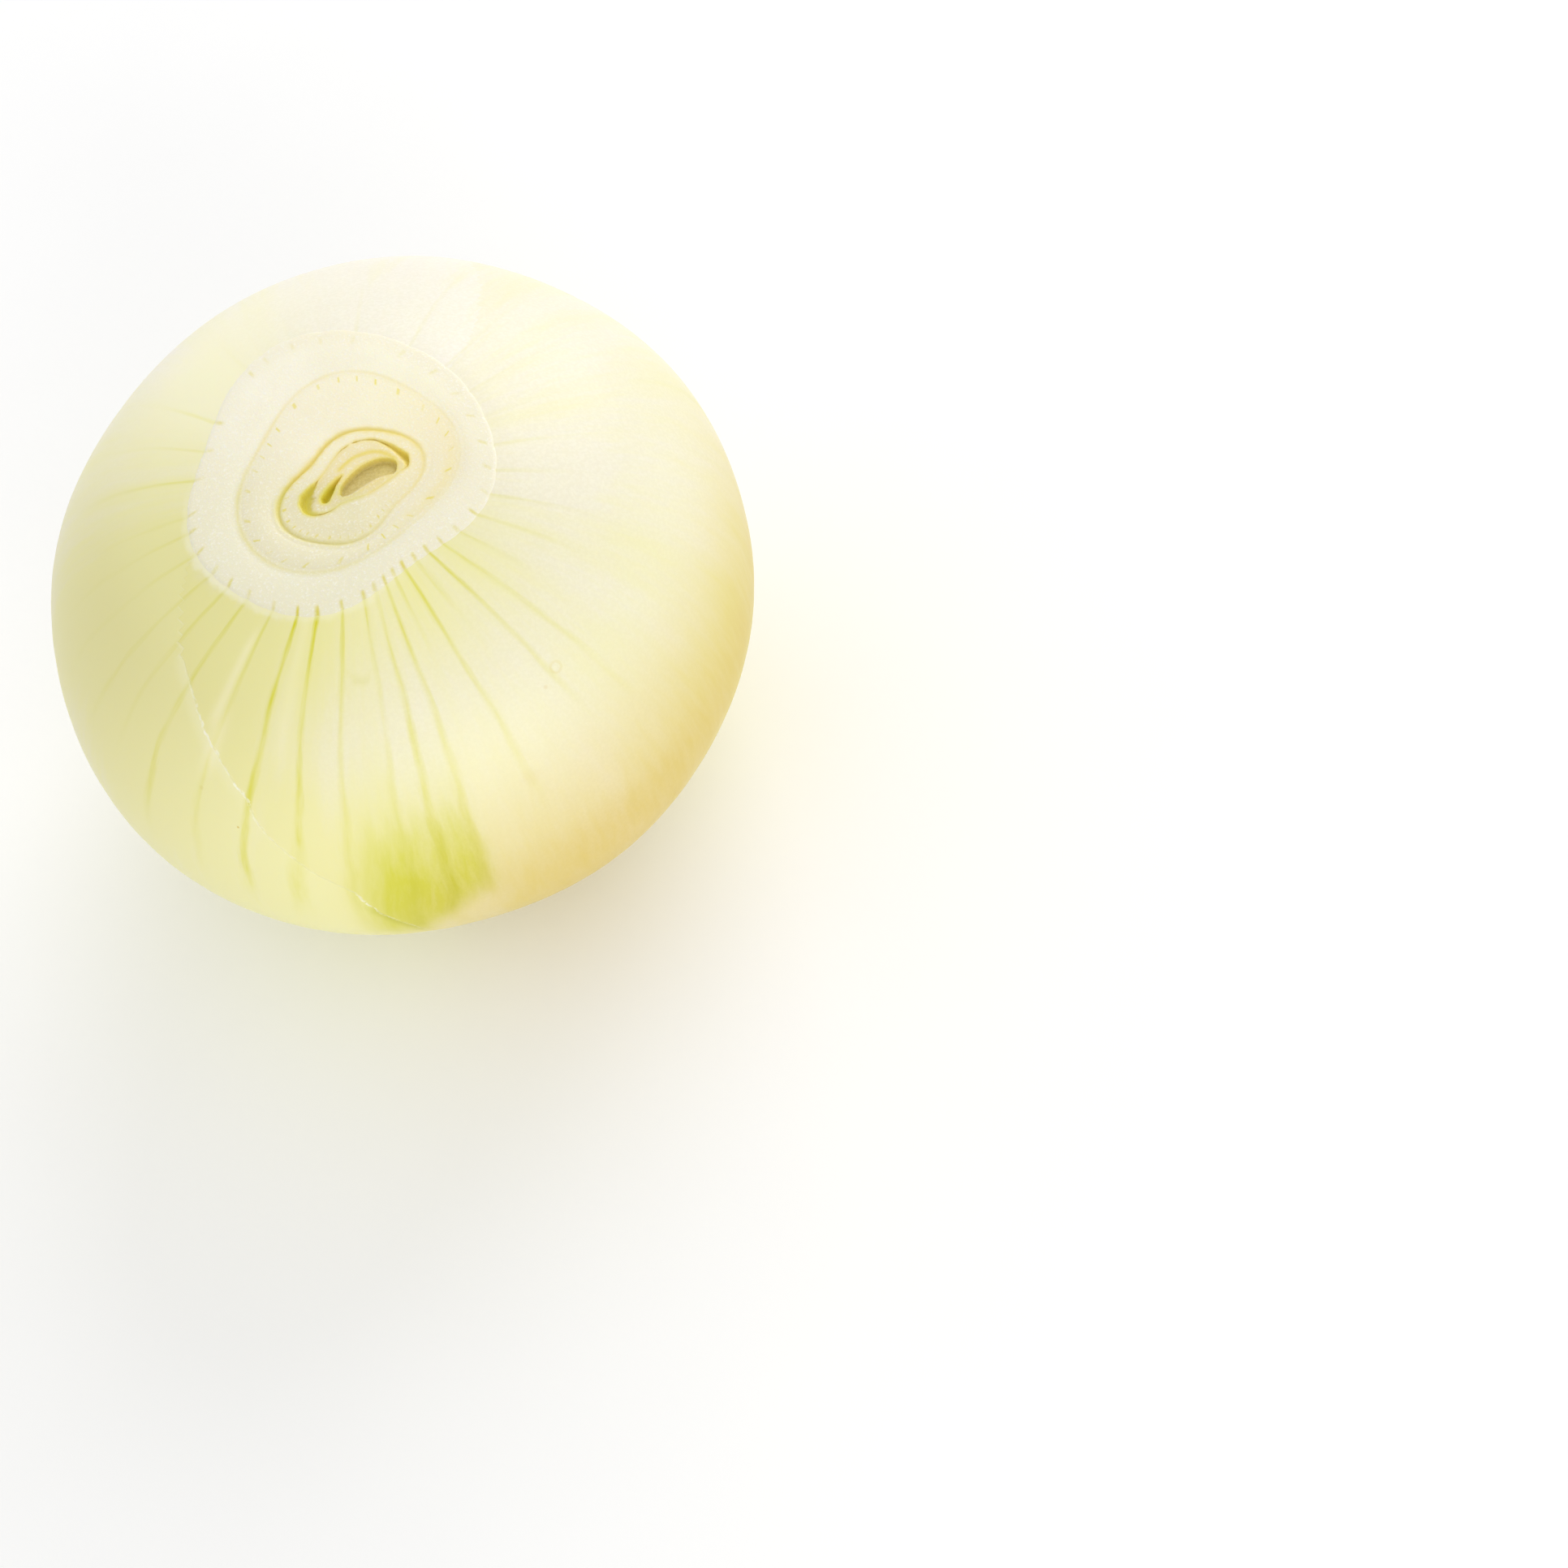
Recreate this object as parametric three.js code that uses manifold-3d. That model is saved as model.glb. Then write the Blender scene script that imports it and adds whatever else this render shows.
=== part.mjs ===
/**
 * A peeled white onion, cut straight across at the neck and at the root plate.
 *
 * The bulb is one solid. Its fleshy scales are leaf bases that grew together on the root
 * plate, so the layers show only as seams on the two cut faces, with a slit and two small
 * hollows between the young leaves in the middle of the neck.
 *
 * Units are millimetres. +Z points up, from the root cut, which the onion stands on, to the
 * neck cut. The origin is under the middle of the bulb, on the root cut.
 */
import * as THREE from 'three';
import { mergeVertices } from 'three/addons/utils/BufferGeometryUtils.js';
import Module from 'manifold-3d';

const wasm = await Module();
wasm.setup();

// ---------------------------------------------------------------------------
// Driving dimensions
// ---------------------------------------------------------------------------

const BULB_HEIGHT = 58;
const WIDEST_RADIUS = 40;
const WIDEST_HEIGHT = 29;

// The side curves in like an ellipse with fuller shoulders. Each half would close on the
// axis at its reach above or below the widest level, but the cuts stop it before that.
const UPPER_REACH = 31.8;
const LOWER_REACH = 32;
const SHOULDER_POWER = 2.2;

// An outline that goes once round: a middle, a mean radius and a few waves on it. Each wave
// is its count round the outline, its height, and the angle of its first crest in degrees.
const SIDE_WAVES = [[2, 0.1, 40], [3, 0.26, 90], [5, 0.15, 3], [8, 0.08, 20]];
const NECK_RIM = {
  x: 0.6,
  y: -4.4,
  radius: 16.7,
  waves: [[1, 2.45, 107], [2, 0.58, 65], [3, 0.97, 96], [4, 0.35, 80], [5, 0.4, 33]],
};
const OUTER_SEAM = {
  x: 0.5,
  y: -2.5,
  radius: 12,
  waves: [[1, 0.48, 305], [2, 0.8, 41], [3, 0.68, 94], [4, 0.3, 79]],
};
const INNER_SEAM = {
  x: 0.9,
  y: -5,
  radius: 7.1,
  waves: [[2, 1.1, 23.5], [4, 0.43, 89]],
};

// The seam between two scales is a V-shaped groove, deepest and widest towards one side.
const OUTER_GROOVE = { halfWidth: 0.3, depth: 0.12, openAngle: 215, opening: 0.3 };
const INNER_GROOVE = { halfWidth: 0.45, depth: 0.4, openAngle: 165, opening: 0.7 };

// On one side, where the outer scales have grown together, the rim is worn round. The angle
// of its middle and the angle it fades over are in degrees.
const RIM_WEAR = { drop: 0.5, middle: 45, width: 60, lowest: 44 };

// The cut faces of the scales swell a little as their water presses them up.
const SCALE_SWELL = 0.2;

// The slit that wraps round the young leaves: its middle line, and its half-width at the
// two ends and where it is almost shut.
const SLIT_LINE = [
  [-3.4, -7.1], [-4.5, -6.2], [-4.6, -5.0], [-3.5, -3.8], [-1.5, -2.5], [0.2, -0.9],
  [2.3, 0.1], [4.4, -0.3], [6.2, -2.0], [7.4, -4.0], [7.0, -5.2],
];
const SLIT_END_HALF_WIDTH = 0.42;
const SLIT_MIDDLE_HALF_WIDTH = 0.1;
const SLIT_DEPTH = 0.7;

// The two hollows between the young leaves: a wide one and a narrow one.
const HOLLOWS = [
  { x: 2.9, y: -4.9, halfLength: 3.1, halfWidth: 1.55, turn: 8, depth: 0.9 },
  { x: -1.1, y: -4.75, halfLength: 1.95, halfWidth: 0.5, turn: 49, depth: 1.1 },
];

// The root cut: a plain flat band to stand on, then the ends of the scales as low rings
// that close in, more and more oval, on two round eyes where the roots grew.
const ROOT_BAND_WIDTH = 2.8;
const ROOT_RING_COUNT = 5;
const ROOT_RING_CREST = 0.12;
const ROOT_RING_DEPTH = 0.5;
const ROOT_CORE_RADIUS = 6.4;
const ROOT_CORE_OVAL = 0.3;
const ROOT_CORE_LEVEL = 0.85;
const ROOT_EYES = [{ x: -3.9, y: 0.4, radius: 3 }, { x: 3.9, y: -0.4, radius: 2.7 }];
const ROOT_EYE_RISE = 0.65;

const POINTS_ROUND = 80;
const HOLLOW_POINTS_ROUND = 24;
const SIDE_ROWS = 12;
const SLIT_STEPS = 20;

// ---------------------------------------------------------------------------
// Shapes
// ---------------------------------------------------------------------------

const TURN = 2 * Math.PI;
const radians = THREE.MathUtils.degToRad;

/** Height of a set of waves at an angle round an outline. */
function waveHeight(waves, angle) {
  return waves.reduce((sum, [count, height, crest]) =>
    sum + height * Math.cos(count * (angle - radians(crest))), 0);
}

/** One closed loop of points: at(angle) gives each point, once round. */
function loop(at, count = POINTS_ROUND) {
  return Array.from({ length: count }, (_, index) => at(index / count * TURN));
}

/** A loop that follows an outline, moved in by inset(angle), at the height level(angle). */
function outlineLoop(outline, inset, level) {
  return loop((angle) => {
    const radius = outline.radius + waveHeight(outline.waves, angle) - inset(angle);
    const x = outline.x + radius * Math.cos(angle);
    const y = outline.y + radius * Math.sin(angle);
    return new THREE.Vector3(x, y, level(angle));
  });
}

/** Points part of the way from one loop to the next, lifted a little. */
function between(first, second, share, lift) {
  return first.map((point, index) => {
    const middle = point.clone().lerp(second[index], share);
    middle.z += lift;
    return middle;
  });
}

/** A closed skin through a stack of loops, with a point closing it at each end. */
function closedSkin(start, loops, end) {
  const points = [start, ...loops.flat(), end];
  const last = points.length - 1;
  const count = loops[0].length;
  const at = (row, index) => 1 + row * count + index % count;
  const triangles = [];
  for (let index = 0; index < count; index += 1) {
    triangles.push(0, at(0, index + 1), at(0, index));
    for (let row = 0; row < loops.length - 1; row += 1) {
      triangles.push(at(row, index), at(row, index + 1), at(row + 1, index + 1));
      triangles.push(at(row, index), at(row + 1, index + 1), at(row + 1, index));
    }
    triangles.push(at(loops.length - 1, index), at(loops.length - 1, index + 1), last);
  }
  const geometry = new THREE.BufferGeometry().setFromPoints(points);
  geometry.setIndex(triangles);
  return geometry;
}

/** Mean radius of the side at a height. */
function sideRadius(height) {
  const above = height - WIDEST_HEIGHT;
  const reach = above > 0 ? UPPER_REACH : LOWER_REACH;
  return WIDEST_RADIUS * Math.sqrt(1 - (Math.abs(above) / reach) ** SHOULDER_POWER);
}

/** How far the worn side of the rim has sunk at a height and an angle. */
function rimDrop(height, angle) {
  const turned = THREE.MathUtils.radToDeg(angle) - RIM_WEAR.middle;
  const away = THREE.MathUtils.euclideanModulo(turned + 180, 360) - 180;
  const share = THREE.MathUtils.smoothstep(height, RIM_WEAR.lowest, BULB_HEIGHT);
  return RIM_WEAR.drop * share * Math.exp(-((away / RIM_WEAR.width) ** 2));
}

/** A loop round the side. Its middle and outline move smoothly into those of the neck's rim. */
function sideLoop(height) {
  const climb = Math.max(0, (height - WIDEST_HEIGHT) / (BULB_HEIGHT - WIDEST_HEIGHT));
  const neckShare = climb ** 3;
  const radius = sideRadius(height);
  const neckChange = NECK_RIM.radius - sideRadius(BULB_HEIGHT);
  return loop((angle) => {
    const bodyWave = waveHeight(SIDE_WAVES, angle) * radius / WIDEST_RADIUS;
    const neckWave = waveHeight(NECK_RIM.waves, angle) + neckChange;
    const reach = radius + bodyWave * (1 - neckShare) + neckWave * neckShare;
    const x = NECK_RIM.x * neckShare + reach * Math.cos(angle);
    const y = NECK_RIM.y * neckShare + reach * Math.sin(angle);
    return new THREE.Vector3(x, y, height - rimDrop(height, angle));
  });
}

/** The side's loops from the root cut to the neck cut, closest together where it turns in. */
function sideLoops() {
  const loops = [];
  for (let row = -SIDE_ROWS; row <= SIDE_ROWS; row += 1) {
    const half = row < 0 ? WIDEST_HEIGHT : BULB_HEIGHT - WIDEST_HEIGHT;
    const rise = Math.sin(row / SIDE_ROWS * Math.PI / 2);
    loops.push(sideLoop(WIDEST_HEIGHT + rise * half));
  }
  return loops;
}

/** The three loops of a groove along a seam: its outer lip, its bottom and its inner lip. */
function grooveLoops(seam, groove) {
  const share = (angle) => {
    const open = (1 + Math.cos(angle - radians(groove.openAngle))) / 2;
    return 1 - groove.opening + groove.opening * open;
  };
  const lip = (angle) => groove.halfWidth * share(angle);
  const bottom = (angle) => BULB_HEIGHT - groove.depth * share(angle);
  return [
    outlineLoop(seam, (angle) => -lip(angle), () => BULB_HEIGHT),
    outlineLoop(seam, () => 0, bottom),
    outlineLoop(seam, lip, () => BULB_HEIGHT),
  ];
}

/** The neck cut from its rim inwards: flesh, the outer seam, flesh, the inner seam, middle. */
function neckLoops(rim) {
  const outer = grooveLoops(OUTER_SEAM, OUTER_GROOVE);
  const inner = grooveLoops(INNER_SEAM, INNER_GROOVE);
  const middle = new THREE.Vector3(INNER_SEAM.x, INNER_SEAM.y, BULB_HEIGHT);
  const towardsMiddle = (share) => inner[2].map((point) => {
    const moved = point.clone().lerp(middle, share);
    moved.z = BULB_HEIGHT + SCALE_SWELL * share;
    return moved;
  });
  return [
    between(rim, outer[0], 0.5, SCALE_SWELL),
    ...outer,
    between(outer[2], inner[0], 0.5, SCALE_SWELL),
    ...inner,
    towardsMiddle(0.35),
    towardsMiddle(0.7),
  ];
}

/** Height of the root's core at a point: a shallow dish with the two eyes rising in it. */
function coreLevel(x, y) {
  return ROOT_EYES.reduce((level, eye) => {
    const away = Math.hypot(x - eye.x, y - eye.y) / eye.radius;
    return level - ROOT_EYE_RISE * Math.exp(-(away ** 4));
  }, ROOT_CORE_LEVEL);
}

/** The root cut's loops from the middle outwards: the core, the rings, then the flat band. */
function rootLoops() {
  const bandRadius = sideRadius(0) - ROOT_BAND_WIDTH;
  const ringPitch = (bandRadius - ROOT_CORE_RADIUS) / ROOT_RING_COUNT;
  const ovalLoop = (radius, level) => loop((angle) => {
    const oval = ROOT_CORE_OVAL * Math.min(1, (bandRadius - radius) / (bandRadius - ROOT_CORE_RADIUS));
    const reach = radius * (1 + oval * Math.cos(2 * angle));
    const x = reach * Math.cos(angle);
    const y = reach * Math.sin(angle);
    return new THREE.Vector3(x, y, level(x, y));
  });
  const loops = [0.25, 0.5, 0.75, 1].map((share) => ovalLoop(share * ROOT_CORE_RADIUS, coreLevel));
  for (let ring = 0; ring < ROOT_RING_COUNT; ring += 1) {
    const crestRadius = ROOT_CORE_RADIUS + (ring + 0.4) * ringPitch;
    const troughRadius = ROOT_CORE_RADIUS + (ring + 0.8) * ringPitch;
    loops.push(ovalLoop(crestRadius, () => ROOT_RING_CREST));
    loops.push(ovalLoop(troughRadius, () => ROOT_RING_CREST + ROOT_RING_DEPTH));
  }
  loops.push(ovalLoop(bandRadius, () => 0));
  return loops;
}

/** The whole bulb before the slit and the hollows are cut into the neck. */
function bulbSkin() {
  const side = sideLoops();
  const neck = neckLoops(side[side.length - 1]);
  const rootMiddle = new THREE.Vector3(0, 0, coreLevel(0, 0));
  const neckMiddle = new THREE.Vector3(INNER_SEAM.x, INNER_SEAM.y, BULB_HEIGHT + SCALE_SWELL);
  return closedSkin(rootMiddle, [...rootLoops(), ...side, ...neck], neckMiddle);
}

/** The slit: a curved blade, wide at both ends of its line and thin in the middle. */
function slitBlade() {
  const line = new THREE.CatmullRomCurve3(SLIT_LINE.map(([x, y]) => new THREE.Vector3(x, y, 0)));
  const leftSide = [];
  const rightSide = [];
  for (let step = 0; step <= SLIT_STEPS; step += 1) {
    const along = step / SLIT_STEPS;
    const point = line.getPointAt(along);
    const tangent = line.getTangentAt(along);
    const fromMiddle = Math.abs(2 * along - 1);
    const width = THREE.MathUtils.lerp(SLIT_MIDDLE_HALF_WIDTH, SLIT_END_HALF_WIDTH, fromMiddle ** 1.5);
    const half = width * Math.sqrt(1 - fromMiddle ** 12);
    leftSide.push(new THREE.Vector2(point.x - tangent.y * half, point.y + tangent.x * half));
    rightSide.unshift(new THREE.Vector2(point.x + tangent.y * half, point.y - tangent.x * half));
  }
  const shape = new THREE.Shape([...leftSide, ...rightSide.slice(1, -1)]);
  const blade = new THREE.ExtrudeGeometry(shape, { depth: SLIT_DEPTH + 2, bevelEnabled: false });
  blade.translate(0, 0, BULB_HEIGHT - SLIT_DEPTH);
  return blade;
}

/** A hollow: a lens-shaped well that narrows with depth, closed in its own round bottom. */
function hollowWell({ x, y, halfLength, halfWidth, turn, depth }) {
  const narrowing = [[1, 0.35], [0.85, 0.6], [0.6, 0.8], [0.3, 0.93], [0, 1.02], [-0.3, 1.08]];
  const lens = (down, size) => loop((angle) => {
    const along = size * halfLength * Math.cos(angle);
    const across = size * halfWidth * Math.sin(angle);
    return new THREE.Vector3(along, across, -down * depth);
  }, HOLLOW_POINTS_ROUND);
  const loops = narrowing.map(([down, size]) => lens(down, size));
  const bottom = new THREE.Vector3(0, 0, -1.05 * depth);
  const top = new THREE.Vector3(0, 0, 0.3 * depth);
  const well = closedSkin(bottom, loops, top);
  well.rotateZ(radians(turn));
  well.translate(x, y, BULB_HEIGHT);
  return well;
}

// ---------------------------------------------------------------------------
// Cutting
// ---------------------------------------------------------------------------

/** A closed geometry as a solid that can be cut. */
function toSolid(geometry) {
  const bare = geometry.clone();
  bare.deleteAttribute('normal');
  bare.deleteAttribute('uv');
  const merged = mergeVertices(bare);
  return new wasm.Manifold(new wasm.Mesh({
    numProp: 3,
    vertProperties: new Float32Array(merged.attributes.position.array),
    triVerts: new Uint32Array(merged.index.array),
  }));
}

/** A solid as a geometry with normals. */
function toGeometry(solid) {
  const mesh = solid.getMesh();
  const geometry = new THREE.BufferGeometry();
  geometry.setAttribute('position', new THREE.BufferAttribute(mesh.vertProperties, 3));
  geometry.setIndex(new THREE.BufferAttribute(mesh.triVerts, 1));
  geometry.computeVertexNormals();
  return geometry;
}

const cutters = [slitBlade(), ...HOLLOWS.map(hollowWell)];
const bulbSolid = cutters.reduce((solid, cutter) => solid.subtract(toSolid(cutter)), toSolid(bulbSkin()));

// ---------------------------------------------------------------------------
// The onion
// ---------------------------------------------------------------------------

const flesh = new THREE.MeshStandardMaterial({ color: '#efe8bd', roughness: 0.35, metalness: 0 });

const bulb = new THREE.Mesh(toGeometry(bulbSolid), flesh);
bulb.name = 'onion_bulb';

const onion = new THREE.Group();
onion.add(bulb);

export default onion;
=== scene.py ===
import math

import bpy
import numpy as np
from mathutils import Matrix, Vector


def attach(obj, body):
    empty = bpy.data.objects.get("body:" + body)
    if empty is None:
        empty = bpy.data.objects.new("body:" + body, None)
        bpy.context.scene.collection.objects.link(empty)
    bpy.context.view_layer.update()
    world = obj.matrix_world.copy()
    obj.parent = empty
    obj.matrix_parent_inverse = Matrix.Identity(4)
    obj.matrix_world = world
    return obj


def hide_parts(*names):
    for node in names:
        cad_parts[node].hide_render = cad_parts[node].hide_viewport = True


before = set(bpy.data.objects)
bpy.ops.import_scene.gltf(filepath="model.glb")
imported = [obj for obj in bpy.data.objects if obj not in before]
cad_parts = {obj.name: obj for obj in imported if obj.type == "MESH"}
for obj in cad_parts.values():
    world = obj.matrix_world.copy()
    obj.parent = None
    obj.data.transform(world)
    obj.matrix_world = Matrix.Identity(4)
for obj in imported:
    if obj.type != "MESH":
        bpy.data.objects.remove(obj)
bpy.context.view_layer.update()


# ------------------------------------------------
# Camera
#
# A long lens looks down on the neck cut from 60 degrees above level. The camera is
# turned on its own line of sight, and the onion stands left of the frame's middle.

CAMERA_AIM = Vector((0.0334, -0.0242, 0.0))
CAMERA_DISTANCE = 0.4351
CAMERA_ELEVATION = math.radians(60)
CAMERA_ROLL = math.radians(-20)
CAMERA_LENS = 85.0
CAMERA_SENSOR = 36.0

forward = Vector((0, math.cos(CAMERA_ELEVATION), -math.sin(CAMERA_ELEVATION)))
level_right = Vector((1, 0, 0))
level_up = level_right.cross(forward)
turned_right = level_right * math.cos(CAMERA_ROLL) + level_up * math.sin(CAMERA_ROLL)
turned_up = level_up * math.cos(CAMERA_ROLL) - level_right * math.sin(CAMERA_ROLL)
axes = Matrix((turned_right, turned_up, -forward)).transposed()

camera = bpy.data.objects.new("camera", bpy.data.cameras.new("camera"))
camera.data.lens = CAMERA_LENS
camera.data.sensor_width = CAMERA_SENSOR
camera.data.clip_start = 0.01
camera.data.clip_end = 20.0
camera.matrix_world = Matrix.Translation(CAMERA_AIM - forward * CAMERA_DISTANCE) @ axes.to_4x4()
bpy.context.scene.collection.objects.link(camera)
bpy.context.scene.camera = camera


# ------------------------------------------------
# Floor and light
#
# A white table in a white tent: an even dome of light, with one large soft lamp behind
# the onion on its right, a second one in front, and the table throwing light back up.

FLOOR_SIZE = 6.0
FLOOR_DROP = 0.00005
DOME_STRENGTH = 0.80
LAMP_SIZE = 1.2
LAMP_DISTANCE = 1.5
# Each lamp: its bearing and its climb in degrees, and the light it sheds on the onion,
# as a share of full white.
LAMPS = [(55, 26, 0.41), (280, 16, 0.30)]


def paint(red, green, blue):
    """A colour from its 8-bit display values, turned into the linear values of light."""
    shares = [value / 255 for value in (red, green, blue)]
    linear = [s / 12.92 if s <= 0.04045 else ((s + 0.055) / 1.055) ** 2.4 for s in shares]
    return (*linear, 1.0)


def new_material(name):
    """An empty node material, the shader that everything feeds, and the point on the object
    itself, in metres."""
    material = bpy.data.materials.new(name)
    material.use_nodes = True
    nodes = material.node_tree.nodes
    return material, nodes["Principled BSDF"], nodes.new("ShaderNodeTexCoord").outputs["Object"]


def feed(source, socket):
    """Joins a socket to another, or sets its own value where the source is plain."""
    if isinstance(source, bpy.types.NodeSocket):
        socket.id_data.links.new(source, socket)
    else:
        socket.default_value = source


def new_step(beside, kind, inputs, **settings):
    """A new node in the tree that a socket is in, with its settings made and inputs fed."""
    step = beside.id_data.nodes.new("ShaderNode" + kind)
    for name, setting in settings.items():
        setattr(step, name, setting)
    for name, source in inputs.items():
        feed(source, step.inputs[name])
    return step


def tint(share, first, second, blend="MIX"):
    """Goes from the first colour to the second by the share."""
    step = new_step(share, "Mix", {0: share, 6: first, 7: second}, data_type="RGBA", blend_type=blend)
    return step.outputs[2]


def speckle(place, scale, detail=3.0, roughness=0.5):
    """Noise from 0 to 1 at a place; scale counts its lumps in one unit of the place."""
    inputs = {"Vector": place, "Scale": scale, "Detail": detail, "Roughness": roughness}
    return new_step(place, "TexNoise", inputs).outputs[0]


table_material, shader, place = new_material("white_table")
grain = speckle(place, 40.0)
feed(tint(grain, paint(253, 253, 253), paint(255, 255, 255)), shader.inputs["Base Color"])
shader.inputs["Roughness"].default_value = 0.8
shader.inputs["Specular IOR Level"].default_value = 0.2

floor_mesh = bpy.data.meshes.new("floor")
reach = FLOOR_SIZE / 2
corners = [(-reach, -reach), (reach, -reach), (reach, reach), (-reach, reach)]
floor_mesh.from_pydata([(x, y, -FLOOR_DROP) for x, y in corners], [], [(0, 1, 2, 3)])
floor_mesh.materials.append(table_material)
floor = bpy.data.objects.new("floor", floor_mesh)
bpy.context.scene.collection.objects.link(floor)

world = bpy.data.worlds.new("studio")
world.use_nodes = True
world.node_tree.nodes["Background"].inputs["Color"].default_value = (1, 1, 1, 1)
world.node_tree.nodes["Background"].inputs["Strength"].default_value = DOME_STRENGTH
bpy.context.scene.world = world

for bearing, climb, share in LAMPS:
    bearing, climb = math.radians(bearing), math.radians(climb)
    lamp = bpy.data.objects.new("lamp", bpy.data.lights.new("lamp", "AREA"))
    lamp.data.shape = "DISK"
    lamp.data.size = LAMP_SIZE
    lamp.data.energy = share * (math.pi * LAMP_DISTANCE) ** 2
    across = math.cos(climb)
    away = Vector((across * math.cos(bearing), across * math.sin(bearing), math.sin(climb)))
    lamp.location = away * LAMP_DISTANCE
    lamp.rotation_euler = (-away).to_track_quat("-Z", "Y").to_euler()
    bpy.context.scene.collection.objects.link(lamp)

bpy.context.scene.view_settings.view_transform = "Standard"


# ------------------------------------------------
# Bulb: its form
#
# The fleshy scales of a white onion, grown together at the root plate. The dry skins
# are peeled off, and a knife has cut the neck and the root straight across.

BULB_HEIGHT = 58.0
WIDEST_RADIUS = 40.0
WIDEST_HEIGHT = 29.0
UPPER_REACH = 31.8
LOWER_REACH = 32.0
SHOULDER_POWER = 2.2

# Outlines go once round: a middle, a mean radius, and waves, each with its count round
# the outline, its height, and the angle of its first crest in degrees.
SIDE_WAVES = [(2, 0.1, 40), (3, 0.26, 90), (5, 0.15, 3), (8, 0.08, 20)]
NECK_RIM = (0.6, -4.4, 16.7, [(1, 2.45, 107), (2, 0.58, 65), (3, 0.97, 96), (4, 0.35, 80), (5, 0.4, 33)])

COLUMNS = 384
SIDE_ROWS = 80
RIM_ROUNDING = 0.12
VEIN_FURROW = 0.03
VEIN_FURROW_AT_NECK = 0.12

# The veins, where they cross the neck's rim: angle in degrees, strength at the rim,
# strength lower down, and the height at which each fades out.
VEINS = [
    (7.8, 0.1, 0.02, 56), (21.6, 0.1, 0.08, 51), (37.1, 0.1, 0.08, 53), (53.5, 0.12, 0.1, 52),
    (73.3, 0.14, 0.05, 55), (84.5, 0.03, 0.0, 57), (94.0, 0.03, 0.0, 57), (103.5, 0.03, 0.0, 57),
    (110.0, 0.04, 0.0, 57), (130.8, 0.3, 0.1, 52), (142.9, 0.24, 0.08, 53), (155.4, 0.34, 0.15, 50),
    (170.4, 0.2, 0.08, 54), (177.6, 0.25, 0.1, 51), (187.1, 0.25, 0.12, 50), (197.8, 0.34, 0.24, 48),
    (206.3, 0.38, 0.22, 50), (215.9, 0.55, 0.36, 40), (227.3, 0.36, 0.22, 36), (237.1, 1.0, 0.62, 33),
    (244.7, 1.0, 0.5, 31), (254.1, 0.66, 0.24, 30), (263.1, 0.52, 0.2, 40), (268.1, 0.3, 0.4, 24),
    (273.2, 0.85, 0.3, 30), (278.0, 0.35, 0.05, 56), (283.5, 0.75, 0.3, 41), (289.9, 0.35, 0.05, 54),
    (296.5, 0.75, 0.22, 46), (303.6, 0.58, 0.2, 45), (311.7, 0.28, 0.04, 56), (321.4, 0.4, 0.08, 52),
    (331.2, 0.28, 0.08, 52), (341.9, 0.25, 0.03, 57), (353.5, 0.16, 0.0, 57),
]
vein_angles = np.radians([vein[0] for vein in VEINS])
vein_angles = np.concatenate([vein_angles - 2 * np.pi, vein_angles, vein_angles + 2 * np.pi])
angles = np.linspace(0, 2 * np.pi, COLUMNS + 1)


def wave_height(terms, angle):
    """The sum of height * cos(count * (angle - crest)) over an outline's waves."""
    return sum(height * np.cos(count * (angle - np.radians(crest))) for count, height, crest in terms)


def vein_count(angle):
    """Counts the veins up to an angle: whole at each vein, and straight in between."""
    return np.interp(angle, vein_angles, np.arange(len(vein_angles)) - len(VEINS))


def side_radius(height):
    """The radius R * sqrt(1 - (|height - widest| / reach) ^ power) of the mean side."""
    above = height - WIDEST_HEIGHT
    reach = np.where(above > 0, UPPER_REACH, LOWER_REACH)
    return WIDEST_RADIUS * np.sqrt(1 - (np.abs(above) / reach) ** SHOULDER_POWER)


def side_points(height, angle):
    """The side at heights and angles: a round with waves, whose middle and waves move to
    those of the neck's rim with the cube of the climb from the widest level. Between the
    veins it swells by the root of the sine of the vein count."""
    middle_x, middle_y, rim_radius, rim_waves = NECK_RIM
    climb = np.clip((height - WIDEST_HEIGHT) / (BULB_HEIGHT - WIDEST_HEIGHT), 0, 1)
    share = climb ** 3
    radius = side_radius(height)
    body_wave = wave_height(SIDE_WAVES, angle) * radius / WIDEST_RADIUS
    neck_wave = wave_height(rim_waves, angle) + rim_radius - side_radius(BULB_HEIGHT)
    furrow = VEIN_FURROW + VEIN_FURROW_AT_NECK * share ** 4
    swell = np.sqrt(np.abs(np.sin(np.pi * vein_count(angle)))) * furrow
    reach = radius + body_wave * (1 - share) + neck_wave * share + swell
    x = middle_x * share + reach * np.cos(angle)
    y = middle_y * share + reach * np.sin(angle)
    return np.stack([x, y, np.broadcast_to(height, x.shape)], axis=-1)


# The side, from the root cut to the neck cut, with its rows closest where it turns in.
turn = np.sin(np.linspace(-1, 1, SIDE_ROWS) * np.pi / 2)[:, None]
half_height = np.where(turn < 0, WIDEST_HEIGHT, BULB_HEIGHT - RIM_ROUNDING - WIDEST_HEIGHT)
side = side_points(WIDEST_HEIGHT + turn * half_height, angles[None, :])


# ------------------------------------------------
# Bulb: the neck cut
#
# The cut ends of the scales: two thick outer ones with a hair seam between them, then
# a deeper seam round the young leaves, whose own cut ends curl round two hollows.

OUTER_SEAM = (0.5, -2.5, 12.0, [(1, 0.48, 305), (2, 0.8, 41), (3, 0.68, 94), (4, 0.3, 79)])
INNER_SEAM = (0.9, -5.0, 7.1, [(2, 1.1, 23.5), (4, 0.43, 89)])
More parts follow.
